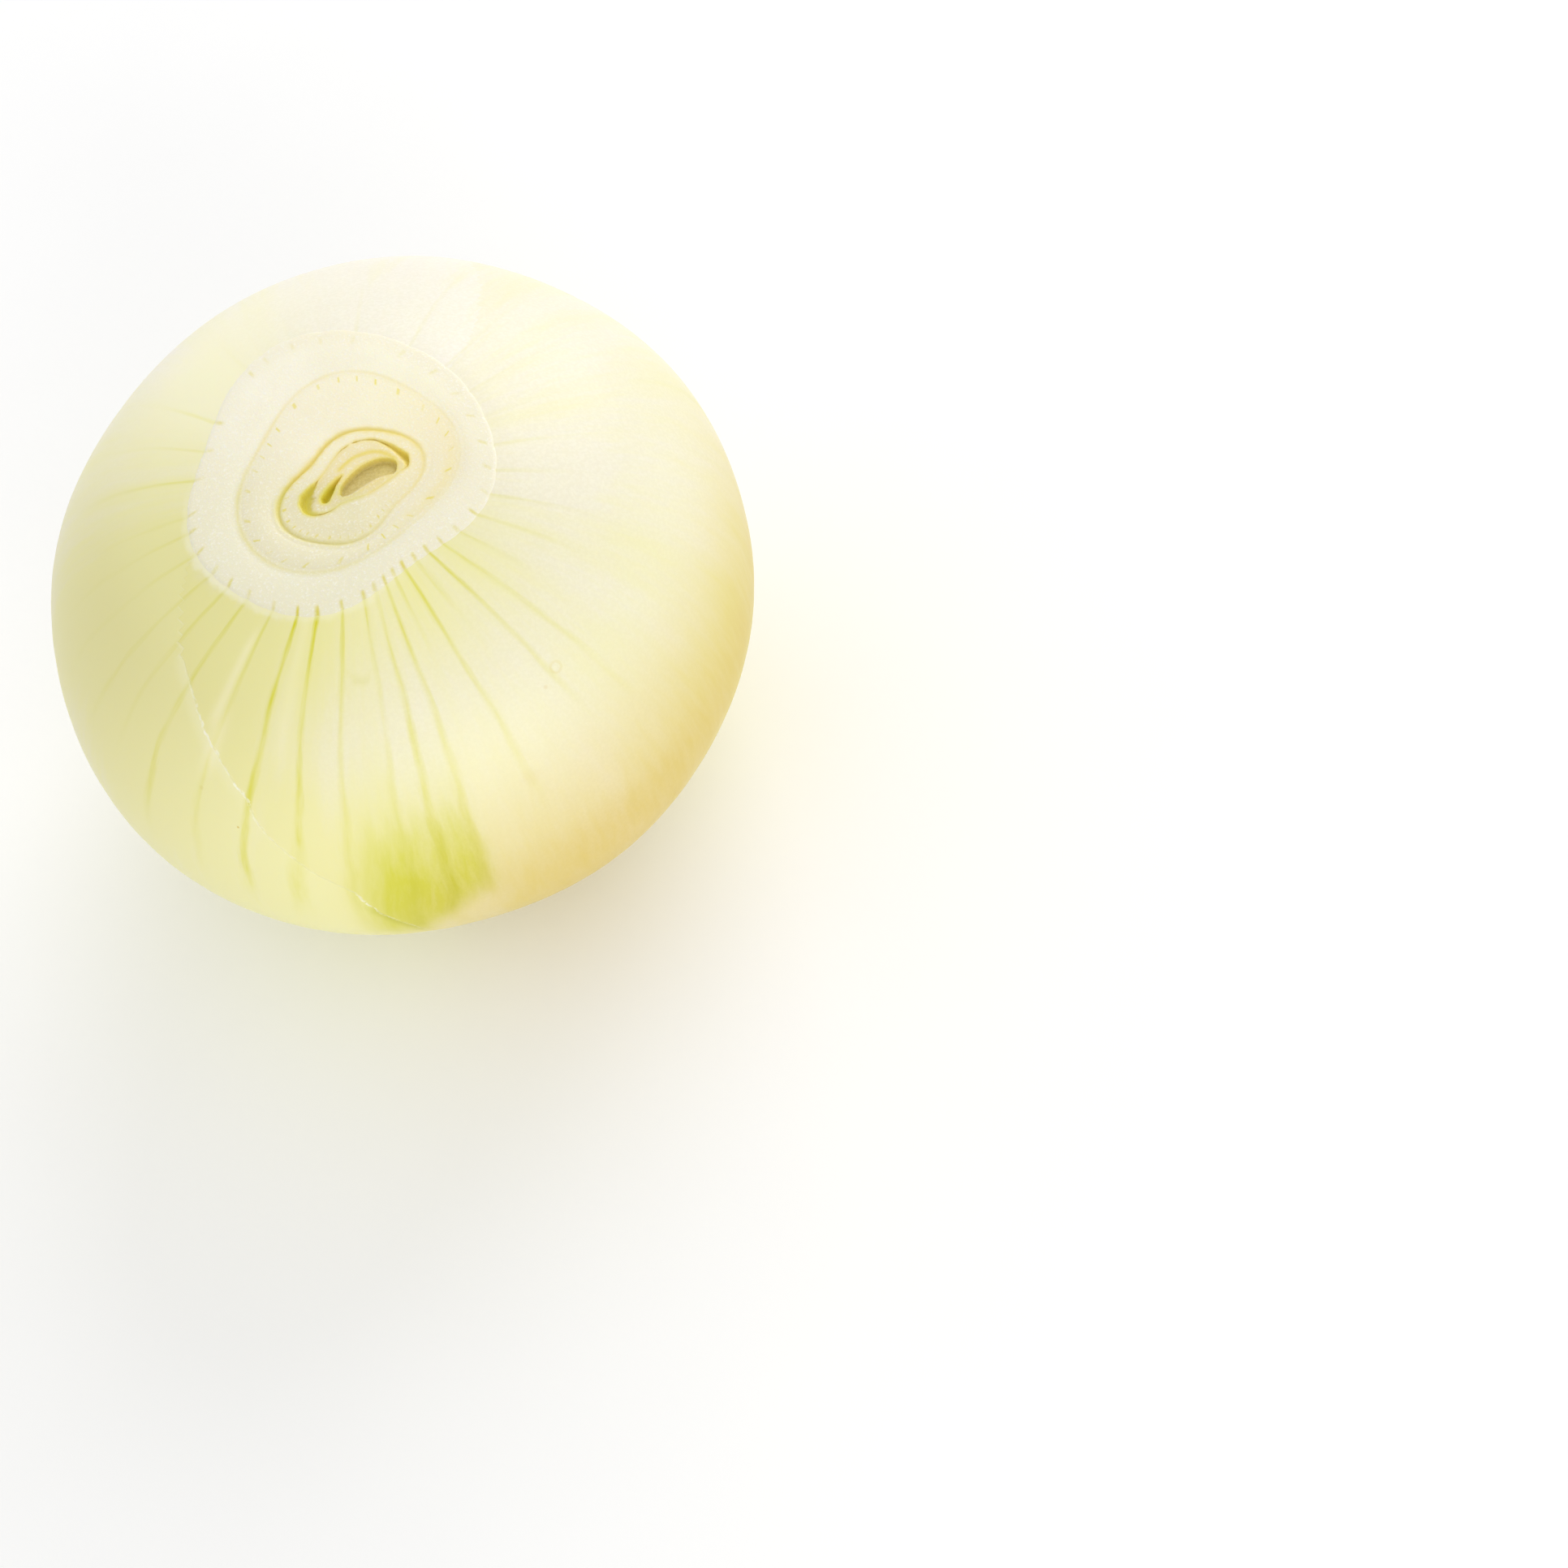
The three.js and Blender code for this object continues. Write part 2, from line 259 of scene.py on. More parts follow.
# A seam's groove, and how far to each side of it its own rows reach.
OUTER_GROOVE = {"half_width": 0.16, "depth": 0.02, "open_angle": 215, "opening": 0.3,
                "reach": 0.5, "rows": 11}
INNER_GROOVE = {"half_width": 0.25, "depth": 0.28, "open_angle": 165, "opening": 0.9,
                "reach": 0.8, "rows": 17}
# What a seam's yellow glow gains: bearing, spread, strength. Beside the merged scales the
# outer seam also widens into a soft yellow band on its inner side.
OUTER_GLOW = [(95, 40, -0.08)]
INNER_GLOW = [(35, 30, 0.25), (205, 24, -0.3), (120, 18, -0.1)]
SOFT_BAND = [(328, 34, 0.3)]
SOFT_BAND_INSET = 0.9
SOFT_BAND_WIDTH = 1.1
SCALE_SWELL = 0.2
CORE_SWELL = 0.14
SCALE_ROWS = 16
CORE_ROWS = 78
RIM_INSET = 0.15
# On one side, given by its bearing and spread, the scales beside the cut have grown together
# and swell less, and the rim is worn round down to a level.
MERGED_SIDE = (30, 60)
SWELL_LOST = 0.8
WORN_SIDE = (45, 60)
RIM_WEAR = 0.5
RIM_WEAR_WIDTH = 3.2
LOWEST_WEAR = 44.0
# An inset that is too far from a seam to matter.
FAR = 9.0

# The slit round the innermost leaves, once round from its left end: place, half-width
# and depth. It gapes at both ends and is a hair line between them.
SLIT = [
    (-4.16, -6.59, 0.22, 0.5), (-4.44, -5.43, 0.5, 1.2), (-4.07, -4.39, 0.48, 1.2),
    (-3.44, -3.74, 0.3, 0.9), (-2.75, -3.28, 0.13, 0.4), (-2.3, -2.92, 0.06, 0.1),
    (-1.2, -2.04, 0.03, 0.04), (-0.17, -1.12, 0.03, 0.04), (0.84, -0.29, 0.04, 0.1),
    (1.66, 0.06, 0.05, 0.15), (2.15, 0.2, 0.01, 0.02), (2.71, 0.26, 0.06, 0.2),
    (3.45, 0.18, 0.04, 0.12), (4.36, -0.09, 0.07, 0.25), (4.99, -0.49, 0.07, 0.25),
    (6.09, -1.67, 0.13, 0.5), (6.96, -2.95, 0.23, 0.9), (7.4, -3.86, 0.26, 1.0),
    (7.34, -4.87, 0.12, 0.4), (6.9, -5.3, 0.05, 0.1), (6.0, -5.62, 0.03, 0.05),
    (4.97, -6.08, 0.03, 0.05), (3.81, -6.46, 0.03, 0.05), (2.38, -6.83, 0.03, 0.05),
    (0.64, -6.84, 0.03, 0.05), (-0.7, -6.89, 0.03, 0.05), (-1.87, -7.27, 0.04, 0.1),
    (-3.18, -7.21, 0.08, 0.2),
]
# A faint line where two leaves inside the slit touch.
LEAF_LINE = [(0.26, -2.59), (1.04, -2.13), (1.94, -1.73), (3.02, -1.67), (3.94, -1.75), (4.9, -2.13),
             (5.65, -2.86), (6.23, -3.75)]

# The wide hollow is scooped out under its upper lip, and runs up to its lower one.
SCOOP_UPPER_LIP = [(-0.5, -5.6), (-0.3, -4.95), (0.24, -4.34), (0.7, -3.99), (1.48, -3.53), (2.24, -3.17),
                   (2.96, -2.97), (3.78, -2.88), (4.7, -2.93), (5.55, -3.26), (6.11, -3.7), (6.32, -4.35),
                   (6.08, -5.13)]
SCOOP_LOWER_LIP = [(5.64, -5.5), (4.86, -5.5), (4.06, -5.47), (3.23, -5.6), (2.23, -5.85), (1.22, -6.13),
                   (0.26, -6.24), (-0.3, -6.05)]
SCOOP_DEPTH = 0.75
# The narrow hollow is a slot that closes to a point.
SLOT = [(-2.6, -5.19), (-2.64, -5.84), (-2.24, -6.11), (-1.82, -6.04), (-1.45, -5.61), (-0.94, -4.95),
        (-0.58, -4.39), (-0.07, -3.89), (0.34, -3.38), (-0.31, -3.5), (-1.0, -3.84), (-1.63, -4.25),
        (-2.18, -4.73)]
SLOT_DEPTH = 1.05


def smooth(value, low, high):
    """0 up to low, 1 from high on, and the curve 3t^2 - 2t^3 between; low may be above high."""
    share = np.clip((value - low) / (high - low), 0, 1)
    return share * share * (3 - 2 * share)


def outline_points(outline, inset, angle):
    """An outline moved in by the inset: middle + (radius + waves - inset) along the angle."""
    middle_x, middle_y, radius, terms = outline
    reach = radius + wave_height(terms, angle) - inset
    return np.stack([middle_x + reach * np.cos(angle), middle_y + reach * np.sin(angle)], axis=-1)


def curve_through(points, samples, closed=False):
    """A smooth curve through points: on each stretch the cubic whose slope at a point is
    half the step between its two neighbours."""
    points = np.array(points, float)
    if closed:
        padded = np.vstack([points[-1], points, points[:2]])
    else:
        padded = np.vstack([2 * points[0] - points[1], points, 2 * points[-1] - points[-2]])
    stretches = len(padded) - 3
    place = np.linspace(0, stretches, samples)
    first = np.minimum(place.astype(int), stretches - 1)
    t = (place - first)[:, None]
    before, start, end, after = (padded[first + step] for step in range(4))
    return 0.5 * (2 * start + (end - before) * t
                  + (2 * before - 5 * start + 4 * end - after) * t ** 2
                  + (3 * start - before - 3 * end + after) * t ** 3)


def nearest_on(line, x, y):
    """Distance of each point to a line's samples, and which sample is the nearest."""
    away = np.hypot(x[..., None] - line[:, 0], y[..., None] - line[:, 1])
    return away.min(axis=-1), away.argmin(axis=-1)


def is_inside(outline, x, y):
    """Whether points lie inside an outline: a level ray from them crosses it an odd
    number of times."""
    start, end = outline, np.roll(outline, -1, axis=0)
    spans = (start[:, 1] > y[..., None]) != (end[:, 1] > y[..., None])
    rise_to = np.where(np.abs(end[:, 1] - start[:, 1]) < 1e-9, 1e-9, end[:, 1] - start[:, 1])
    crossing = start[:, 0] + (y[..., None] - start[:, 1]) * (end[:, 0] - start[:, 0]) / rise_to
    return (spans & (crossing > x[..., None])).sum(axis=-1) % 2 == 1


def bell(away, width):
    """exp(-(away / width) ^ 2): 1 in the middle, and nearly 0 from two widths away."""
    return np.exp(-(away / width) ** 2)


def bump(angle, middle, width):
    """A bell round a bearing, all in degrees."""
    return bell((np.degrees(angle) - middle + 180) % 360 - 180, width)


def bells(angle, table):
    """The sum of strength * bump over a table of bearings, spreads and strengths."""
    return sum(strength * bump(angle, bearing, spread) for bearing, spread, strength in table)


def groove(inset, angle, shape):
    """Depth of a seam: depth * exp(-(inset / half_width) ^ 2), less away from where it is
    open. Returns the depth, how olive the seam is there, and the yellow glow beside it."""
    open_share = (1 + np.cos(angle - math.radians(shape["open_angle"]))) / 2
    share = 1 - shape["opening"] + shape["opening"] * open_share
    ragged = 1 + 0.12 * np.sin(23 * angle + 2 * np.sin(7 * angle))
    width = shape["half_width"] * (0.6 + 0.4 * share) * ragged
    line = bell(inset, width)
    return shape["depth"] * share * line, share * line, bell(inset, 1.9 * width)


def core_relief(x, y):
    """Depth, olive shade, yellow glow, beige floor, bud share, and the distance to and
    strength of a hair line, for the young leaves. The slit is steep outside its line and
    slopes gently inside it, the slot is a pit, and the scoop's depth is the share of the
    way from its lower lip to its upper one."""
    slit = curve_through(SLIT, 500, closed=True)
    slit_away, nearest = nearest_on(slit, x, y)
    inside = is_inside(slit, x, y)
    half = slit[nearest, 2] * (1 + 0.15 * np.sin(nearest * 0.31) * np.sin(nearest * 0.12))
    wall = 1 - smooth(slit_away, 0.5 * half, half + 0.07)
    slope = 1 - smooth(slit_away, 0.0, 2.6 * half + 0.04)
    trench = np.where(inside, slope, wall)
    depth = 0.65 * trench * slit[nearest, 3]
    outward = slit_away * np.where(inside, -1, 1)
    foot = bell(outward - 0.3 * half, 0.6 * half + 0.04)
    shade = np.maximum(foot, 0.15 * trench) * np.clip(half / 0.22, 0.2, 1)
    glow = bell(np.maximum(slit_away - half, 0), 0.28) * np.clip(0.45 + half / 0.2, 0, 1)
    glow = np.maximum(glow, slope * inside * smooth(half, 0.08, 0.2))
    hair_share = smooth(slit[nearest, 3], 0.05, 0.15) * (1 - smooth(half, 0.1, 0.2))
    away = nearest_on(curve_through(LEAF_LINE, 120), x, y)[0]
    glow = np.maximum(glow, 0.8 * bell(away, 0.32))
    shade = np.maximum(shade, 0.35 * bell(away, 0.22))
    bud = inside * smooth(slit_away, 0.0, 0.4)

    slot = curve_through(SLOT, 200, closed=True)
    edge = nearest_on(slot, x, y)[0] * np.where(is_inside(slot, x, y), 1, -1)
    depth = np.maximum(depth, SLOT_DEPTH * smooth(edge, -0.04, 0.45))
    shade = np.maximum(shade, smooth(edge, -0.04, 0.2) * np.clip(0.85 - 0.15 * x, 0.65, 1.3))
    glow = np.maximum(glow, bell(np.minimum(edge, 0), 0.25))

    upper = curve_through(SCOOP_UPPER_LIP, 200)
    lower = curve_through(SCOOP_LOWER_LIP, 120)
    within = is_inside(np.vstack([upper, lower]), x, y)
    to_upper = nearest_on(upper, x, y)[0]
    to_lower = nearest_on(lower, x, y)[0]
    way_up = to_lower / (to_lower + to_upper)
    scooped = SCOOP_DEPTH * smooth(to_upper, 0.0, 0.25) * way_up ** 0.8
    depth = np.maximum(depth, np.where(within, scooped, 0))
    pocket = np.where(within, smooth(to_lower, 0, 0.5), 0)
    dark = 0.4 * bell(to_upper, 0.22) + 0.15 * smooth(x, 2.5, 5.8)
    shade = np.maximum(shade, within * dark)
    glow = np.maximum(glow, np.where(within, 0.25, 0.85) * bell(to_upper, 0.28))
    glow = np.maximum(glow, np.where(within, 0, 0.45 * bell(to_lower, 0.45)))
    return depth, shade, glow, pocket, bud, slit_away, hair_share


neck_rows = []


def add_neck_row(points, depth, shade, glow, from_outer, from_inner, core=0.0):
    """Adds one row: its points, depth, shades, insets from the seams, share of the core."""
    plain = np.zeros(COLUMNS + 1)
    values = [plain + value for value in (depth, shade, glow, from_outer, from_inner, core)]
    neck_rows.append(np.column_stack([points, *values]))


def add_scale_rows(start, end, outline_outside, outline_inside):
    """Adds the rows across one cut scale, which swells between its two edges by the sine
    of the share of the way, and less where the scales have grown together."""
    merged = SWELL_LOST * bump(angles, *MERGED_SIDE)
    for share in np.linspace(0, 1, SCALE_ROWS + 2)[1:-1]:
        points = start + (end - start) * share
        outside, inside = (np.hypot(*(points - outline_points(outline, 0.0, angles)).T)
                           for outline in (outline_outside, outline_inside))
        swell = SCALE_SWELL * math.sin(math.pi * share) ** 0.7 * (1 - merged)
        from_outer = -inside if outline_inside is OUTER_SEAM else outside
        from_inner = -inside if outline_inside is INNER_SEAM else -FAR
        add_neck_row(points, -swell, 0.0, 0.0, from_outer, from_inner)


outer_reach = OUTER_GROOVE["reach"]
inner_reach = INNER_GROOVE["reach"]
rim = side[-1, :, :2] + outline_points(NECK_RIM, RIM_INSET, angles) - outline_points(NECK_RIM, 0.0, angles)
add_neck_row(rim, 0.0, 0.0, 0.0, -FAR, -FAR)
add_scale_rows(rim, outline_points(OUTER_SEAM, -outer_reach, angles), NECK_RIM, OUTER_SEAM)
outer_glow = 0.3 + 0.12 * np.cos(angles - math.radians(160)) + 0.06 * np.sin(9 * angles + np.sin(4 * angles))
outer_glow = outer_glow + bells(angles, OUTER_GLOW)
for inset in np.linspace(-outer_reach, outer_reach, OUTER_GROOVE["rows"]):
    depth, shade, glow = groove(inset, angles, OUTER_GROOVE)
    row = outline_points(OUTER_SEAM, inset, angles)
    add_neck_row(row, depth, 0.05 * shade, glow * outer_glow, inset, -FAR)
outer_end = outline_points(OUTER_SEAM, outer_reach, angles)
add_scale_rows(outer_end, outline_points(INNER_SEAM, -inner_reach, angles), OUTER_SEAM, INNER_SEAM)
inner_glow = 0.7 + 0.3 * np.cos(angles - math.radians(120)) + bells(angles, INNER_GLOW)
for inset in np.linspace(-inner_reach, inner_reach, INNER_GROOVE["rows"]):
    depth, shade, glow = groove(inset, angles, INNER_GROOVE)
    row = outline_points(INNER_SEAM, inset, angles)
    add_neck_row(row, depth, 0.4 * shade ** 2, glow * inner_glow, FAR, inset)
core_start = outline_points(INNER_SEAM, inner_reach, angles)
core_middle = np.array(INNER_SEAM[:2])
for share in np.linspace(0, 1, CORE_ROWS + 1)[1:-1]:
    points = core_start + (core_middle - core_start) * share
    inset = inner_reach + np.hypot(*(points - core_start).T)
    add_neck_row(points, 0.0, 0.0, 0.0, FAR, inset, smooth(inset, inner_reach, 1.0))

neck_columns = np.moveaxis(np.array(neck_rows), 2, 0)
neck_x, neck_y, neck_depth, neck_shade, neck_glow, from_outer, from_inner, in_core = neck_columns
relief = core_relief(neck_x, neck_y)
core_depth, core_shade, core_glow, core_pocket, core_bud, hair_away, hair_share = relief
neck_depth = neck_depth + core_depth * in_core
neck_depth = neck_depth - CORE_SWELL * smooth(from_inner, inner_reach, 2.6) * (in_core > 0)
neck_shade = np.maximum(neck_shade, core_shade * in_core)
neck_glow = np.maximum(neck_glow, core_glow * in_core)
soft_band = bell(from_outer - SOFT_BAND_INSET, SOFT_BAND_WIDTH) * (1 - smooth(from_inner, -1.2, -0.2))
neck_glow = np.maximum(neck_glow, bells(angles, SOFT_BAND) * soft_band)
neck = np.stack([neck_x, neck_y, BULB_HEIGHT - neck_depth], axis=-1)

worn = RIM_WEAR * bump(angles, *WORN_SIDE)
neck_inset = np.hypot(neck_x - side[-1, :, 0], neck_y - side[-1, :, 1])
neck[..., 2] -= worn * np.clip(1 - neck_inset / RIM_WEAR_WIDTH, 0, 1) ** 2
side[..., 2] -= worn * smooth(side[..., 2], LOWEST_WEAR, BULB_HEIGHT)


# ------------------------------------------------
# Bulb: the root cut
#
# The root plate, sliced off flat: a plain band that the onion stands on, then the ends
# of the scales as wavy rings that close in on two fibrous eyes where the roots grew.

ROOT_BAND_WIDTH = 2.8
ROOT_RING_COUNT = 5
ROOT_RING_CREST = 0.12
ROOT_RING_DEPTH = 0.5
ROOT_CORE_RADIUS = 6.4
ROOT_CORE_OVAL = 0.3
ROOT_CORE_LEVEL = 0.85
ROOT_EYES = [(-3.9, 0.4, 3.0), (3.9, -0.4, 2.7)]
ROOT_EYE_RISE = 0.65
ROOT_ROWS = 38


def root_level(radius, x, y, angle):
    """Height of the root cut: flat on the band, a run of rings with a fine ripple inside
    it, and a shallow dish with two low mounds at the core."""
    band_radius = side_radius(0.0) - ROOT_BAND_WIDTH
    ring = (radius - ROOT_CORE_RADIUS) / (band_radius - ROOT_CORE_RADIUS) * ROOT_RING_COUNT
    wobble = 0.12 * np.sin(9 * angle + 2 * ring) + 0.08 * np.sin(17 * angle - ring)
    trough = (1 - np.cos(2 * np.pi * (ring + 0.1 + wobble * 0.5))) / 2
    ripple = 0.25 * (1 - np.cos(6 * np.pi * (ring + wobble))) / 2
    rings = ROOT_RING_CREST + ROOT_RING_DEPTH * np.clip(0.8 * trough + ripple, 0, 1)
    dish = np.full(np.shape(x), ROOT_CORE_LEVEL)
    for eye_x, eye_y, eye_radius in ROOT_EYES:
        away = np.hypot(x - eye_x, y - eye_y) / eye_radius
        dish = dish - ROOT_EYE_RISE * np.exp(-away ** 4)
    level = dish + (rings - dish) * smooth(radius, ROOT_CORE_RADIUS - 0.6, ROOT_CORE_RADIUS + 0.6)
    return level * (1 - smooth(radius, band_radius - 0.7, band_radius))


root_radius = np.linspace(0, side_radius(0.0), ROOT_ROWS + 1)[1:-1, None]
band_radius = side_radius(0.0) - ROOT_BAND_WIDTH
oval = ROOT_CORE_OVAL * np.clip((band_radius - root_radius) / (band_radius - ROOT_CORE_RADIUS), 0, 1)
root_reach = root_radius * (1 + oval * np.cos(2 * angles[None, :]))
root_x = root_reach * np.cos(angles)
root_y = root_reach * np.sin(angles)
root_z = root_level(np.broadcast_to(root_radius, root_x.shape), root_x, root_y, angles[None, :])
root = np.stack([root_x, root_y, root_z], axis=-1)


# ------------------------------------------------
# Bulb: its marks
#
# What grew in the scales and shows through their skin: greenish veins that run down from
# the neck, a green patch where light reached it, and the torn edge of a last thin skin.

# The torn edge, by angle and height, and how strong the painted highlight along it is there.
TORN_EDGE = [
    (211.2, 53.6, 0.2), (215.5, 52.6, 0.4), (219.3, 51.4, 0.6), (223.5, 49.8, 1.0), (228.8, 47.6, 0.5),
    (231.5, 46.1, 1.0), (233.8, 44.9, 0.7), (236, 42, 0.4), (240.2, 38.7, 0.3), (241.3, 37.8, 0.8),
    (243.5, 36, 0.2), (248.8, 32.2, 0.2), (249.6, 30.2, 0.9), (251.3, 26.8, 0.4), (252.8, 24.3, 0.3),
    (254.5, 21.7, 0.2), (255.5, 18.4, 0.1), (257, 12, 0.0),
]
TORN_EDGE_HIGHLIGHT_SHARE = 0.65
# A point that is too far from the torn edge or the crease to show either.
OFF_LINE = 20.0
# A crease in the skin: from one angle to another, and its height.
CREASE_FROM, CREASE_TO, CREASE_HEIGHT = 253.5, 265.0, 54.4
# The veins' lean, and where it is held back high up: bearing, spread, degrees. Their
# half-width at the rim in millimetres, and what each millimetre further down adds to it.
VEIN_LEAN = [(241, 36, 6.2), (150, 30, -4.0), (312, 18, -3.0)]
VEIN_LEAN_LOST = [(243, 5, 2.2)]
VEIN_HALF_WIDTH = 0.38
VEIN_WIDENING = 0.033
# The green patch lies between two veins, given by their angles at the neck's rim. It fades
# out over its top, and is ragged within it.
PATCH_FROM = (250, 263)
PATCH_TO = (271, 276)
PATCH_TOP = (31, 52)
PATCH_RAGGED = 41
PATCH_FLOOR = 20
FIBRE_STRETCH = 250.0
OUTER_BUNDLES = 27
INNER_BUNDLES = 40

# Where the skin is tinted, and where shade and highlights are painted on it. A "from" list
# has a bearing, its spread, the heights that the tint starts and is full at, and its
# strength. An "about" list has a bearing, its spread, a height, its spread, and the
# strength. A plain list has a bearing, its spread and the strength.
LEAF_TINT = (0.45, [(1, 0.4, 227), (2, 0.11, 14), (3, 0.06, 101)])
LEAFY_FROM = [(275, 42, 50, 57.5, 0.4), (185, 35, 50, 57.5, 0.25), (78, 42, 49, 57, -0.36),
              (240, 16, 42, 30, 0.3), (334, 26, 45, 30, 0.6)]
LEAFY_ABOUT = [(7, 20, 49, 4, -0.15), (249, 12, 49, 4, -0.25), (284, 24, 44, 11, -0.38),
               (285, 50, 52, 4, -0.25), (190, 48, 48, 7, 0.3), (220, 18, 46, 9, 0.42), (258, 18, 40, 5, 0.2)]
LEAFY_RIM_FROM = [(205, 25, 56.8, 57.8, -0.4), (345, 16, 50, 54.5, -0.24), (345, 16, 56, 58, 0.144),
                  (330, 14, 50, 55, -0.28), (138, 18, 51, 56, 0.3)]
# Painted shade: the skin is darker over one flank from mid height up and less near the top, in a narrow band
# high up on the other side, and just below the rim.
PAINTED_SHADE_FROM = [(190, 42, 10, 40, 1.0), (190, 42, 51, 57, -0.6), (70, 22, 40, 50, 0.25), (70, 22, 50, 54, -0.25)]
PAINTED_RIM_SHADE_FROM = [(20, 55, 56.6, 57.3, 0.3)]
# Painted highlights: pale zones on the skin.
PAINTED_HIGHLIGHT_FROM = [(122, 26, 47, 56, 1.0)]
PAINTED_HIGHLIGHT_ABOUT = [(275, 45, 44, 12, 0.4)]
# Painted highlights as pale strokes beside the veins, by the veins' own bearings, and a knot in one of them.
HIGHLIGHT_STROKES_FROM = [(225.4, 1.2, 49.5, 52, 0.6), (225.4, 1.2, 56, 57.5, -0.6), (227.5, 1.5, 45, 48, 0.55),
                (227.5, 1.5, 50, 53, -0.55), (241, 1.6, 47, 51, 0.3)]
KNOT_ABOUT = [(244.7, 2, 40.8, 1.0, 0.4)]
# Where the painted golden shade with warm reflected light lies: its bearing, and more of it as a "from" list.
GOLDEN_SHADE_BEARING = 318
GOLDEN_SHADE_FROM = [(293, 18, 34, 26, 0.35), (326, 20, 38, 26, 0.15)]
# A painted highlight along the frayed lip at the rim: bearing, spread, strength.
FRAYED_LIP_HIGHLIGHT = [(200, 35, 0.55), (255, 25, 0.25)]
# Painted light on the cut, paler on the side towards the lamp: bearing, spread, strength.
PAINTED_LIGHT_FLESH = [(34, 57, 0.9)]
# Painted shade in a band inside the rim on the worn side: bearing, spread, strength.
PAINTED_RIM_SHADE_FLESH = [(28, 78, 1.0)]

rows = np.concatenate([root, side, neck])
ROOT = slice(0, len(root))
SIDE = slice(len(root), len(root) + len(side))
NECK = slice(SIDE.stop, None)
row_angle = np.broadcast_to(angles, rows.shape[:2])
height = rows[..., 2]
below = BULB_HEIGHT - height
steps = np.linalg.norm(np.diff(rows, axis=0), axis=-1).mean(axis=1)
arc_length = np.broadcast_to(np.concatenate([[0], np.cumsum(steps)])[:, None], rows.shape[:2])


def vein_gap(angle):
    """The angle between the two veins on either side of an angle."""
    after = np.clip(np.searchsorted(vein_angles, angle), 1, len(vein_angles) - 1)
    return vein_angles[after] - vein_angles[after - 1]


def of_nearest_vein(angle, column):
    """A column of the vein list, for the vein nearest to an angle."""
    nearest = np.round(vein_count(angle)).astype(int) % len(VEINS)
    return np.array([vein[column] for vein in VEINS])[nearest]


def signed_distance(points, line):
    """Distance in space from each point to the samples of a line, positive on its left
    as seen from outside when going up it, and which sample is the nearest."""
    gaps = points[..., None, :] - line[None, :, :]
    away = np.linalg.norm(gaps, axis=-1)
    nearest = away.argmin(axis=-1)
    steps = np.gradient(line, axis=0)[nearest]
    gap = np.take_along_axis(gaps, nearest[..., None, None], axis=-2)[..., 0, :]
    outward = points * [1, 1, 0]
    side_of = np.einsum("...i,...i->...", np.cross(steps, gap), outward)
    return away.min(axis=-1) * np.where(side_of > 0, 1, -1), nearest


def on_part(part, values, elsewhere=0.0):
    """The values on one part's rows, and one value on all the other rows."""
    grid = np.full(rows.shape[:2], elsewhere)
    grid[part] = values
    return grid


def tint_from(angle, table):
    """The sum of strength * bump(bearing, spread) * smooth(height, start, full)."""
    return sum(strength * bump(angle, bearing, spread) * smooth(height, start, full)
               for bearing, spread, start, full, strength in table)


def tint_about(angle, table):
    """The sum of strength * bump(bearing, spread) * exp(-((height - level) / depth) ^ 2)."""
    return sum(strength * bump(angle, bearing, spread) * bell(height - level, depth)
               for bearing, spread, level, depth, strength in table)


edge_curve = curve_through(TORN_EDGE, 200)
edge_points = side_points(edge_curve[:, 1], np.radians(edge_curve[:, 0]))
film_away, nearest = signed_distance(side, edge_points)
rim_inset = on_part(NECK, np.hypot(*np.moveaxis(neck[..., :2] - side[-1, :, :2], -1, 0)))
on_side = on_part(SIDE, 1.0)
off_side = 1 - on_side

# The veins lean to the left on their way down, and waver a little.
lean = bells(row_angle, VEIN_LEAN) * np.clip(below / 26, 0, 1.4)
lean = lean - bells(row_angle, VEIN_LEAN_LOST) * np.clip(below / 18, 0, 1)
waver = 0.25 * np.sin(arc_length / 4.5 + 9 * row_angle) + 0.12 * np.sin(arc_length / 1.7 + 17 * row_angle)
vein_angle = row_angle + np.radians(lean + waver * (1 - smooth(height, 50, 57.5)))
rim_bearing = np.degrees(vein_angle)
at_rim, lower, end_height = (of_nearest_vein(vein_angle, column) for column in (1, 2, 3))
side_share = lower * smooth(height, end_height - 8, end_height + 5)
side_share = side_share + (at_rim - lower) * bell(below, 2.6)
far_side = smooth(np.cos(row_angle - math.radians(75)), -0.3, 0.5)
far_side = far_side * smooth(height, 12, 24) * smooth(height, 49, 36)
side_share = side_share + 0.17 * far_side + tint_about(vein_angle, KNOT_ABOUT)
neck_share = smooth(height, 40, 58)
vein_radius = np.hypot(rows[..., 0] - NECK_RIM[0] * neck_share, rows[..., 1] - NECK_RIM[1] * neck_share)

# On the cut each vein ends in a short dash, further in on the far side.
dash_start = 0.9 * smooth(0.5 + 0.5 * np.cos(row_angle - math.radians(50)), 0.5, 0.9)
dash = smooth(rim_inset, dash_start - 0.1, dash_start + 0.2)
dash = dash * smooth(rim_inset, dash_start + 1.3, dash_start + 0.8)
dash = dash * np.clip(0.42 + 0.7 * at_rim, 0, 1) * (1 - 0.3 * bump(row_angle, 30, 60))

green = smooth(rim_bearing, *PATCH_FROM) * (1 - smooth(rim_bearing, *PATCH_TO))
ragged_top = PATCH_RAGGED + 1.2 * np.sin(1.4 * rim_bearing) + 0.6 * np.sin(4.1 * rim_bearing)
green = green * (1 - smooth(height, *PATCH_TOP)) * (1 - 0.4 * smooth(height, ragged_top - 1, ragged_top + 2))
patch_floor = PATCH_FLOOR + 8 * smooth(rim_bearing, 262, 273)
green = green * smooth(height, patch_floor - 4, patch_floor + 3) * on_side

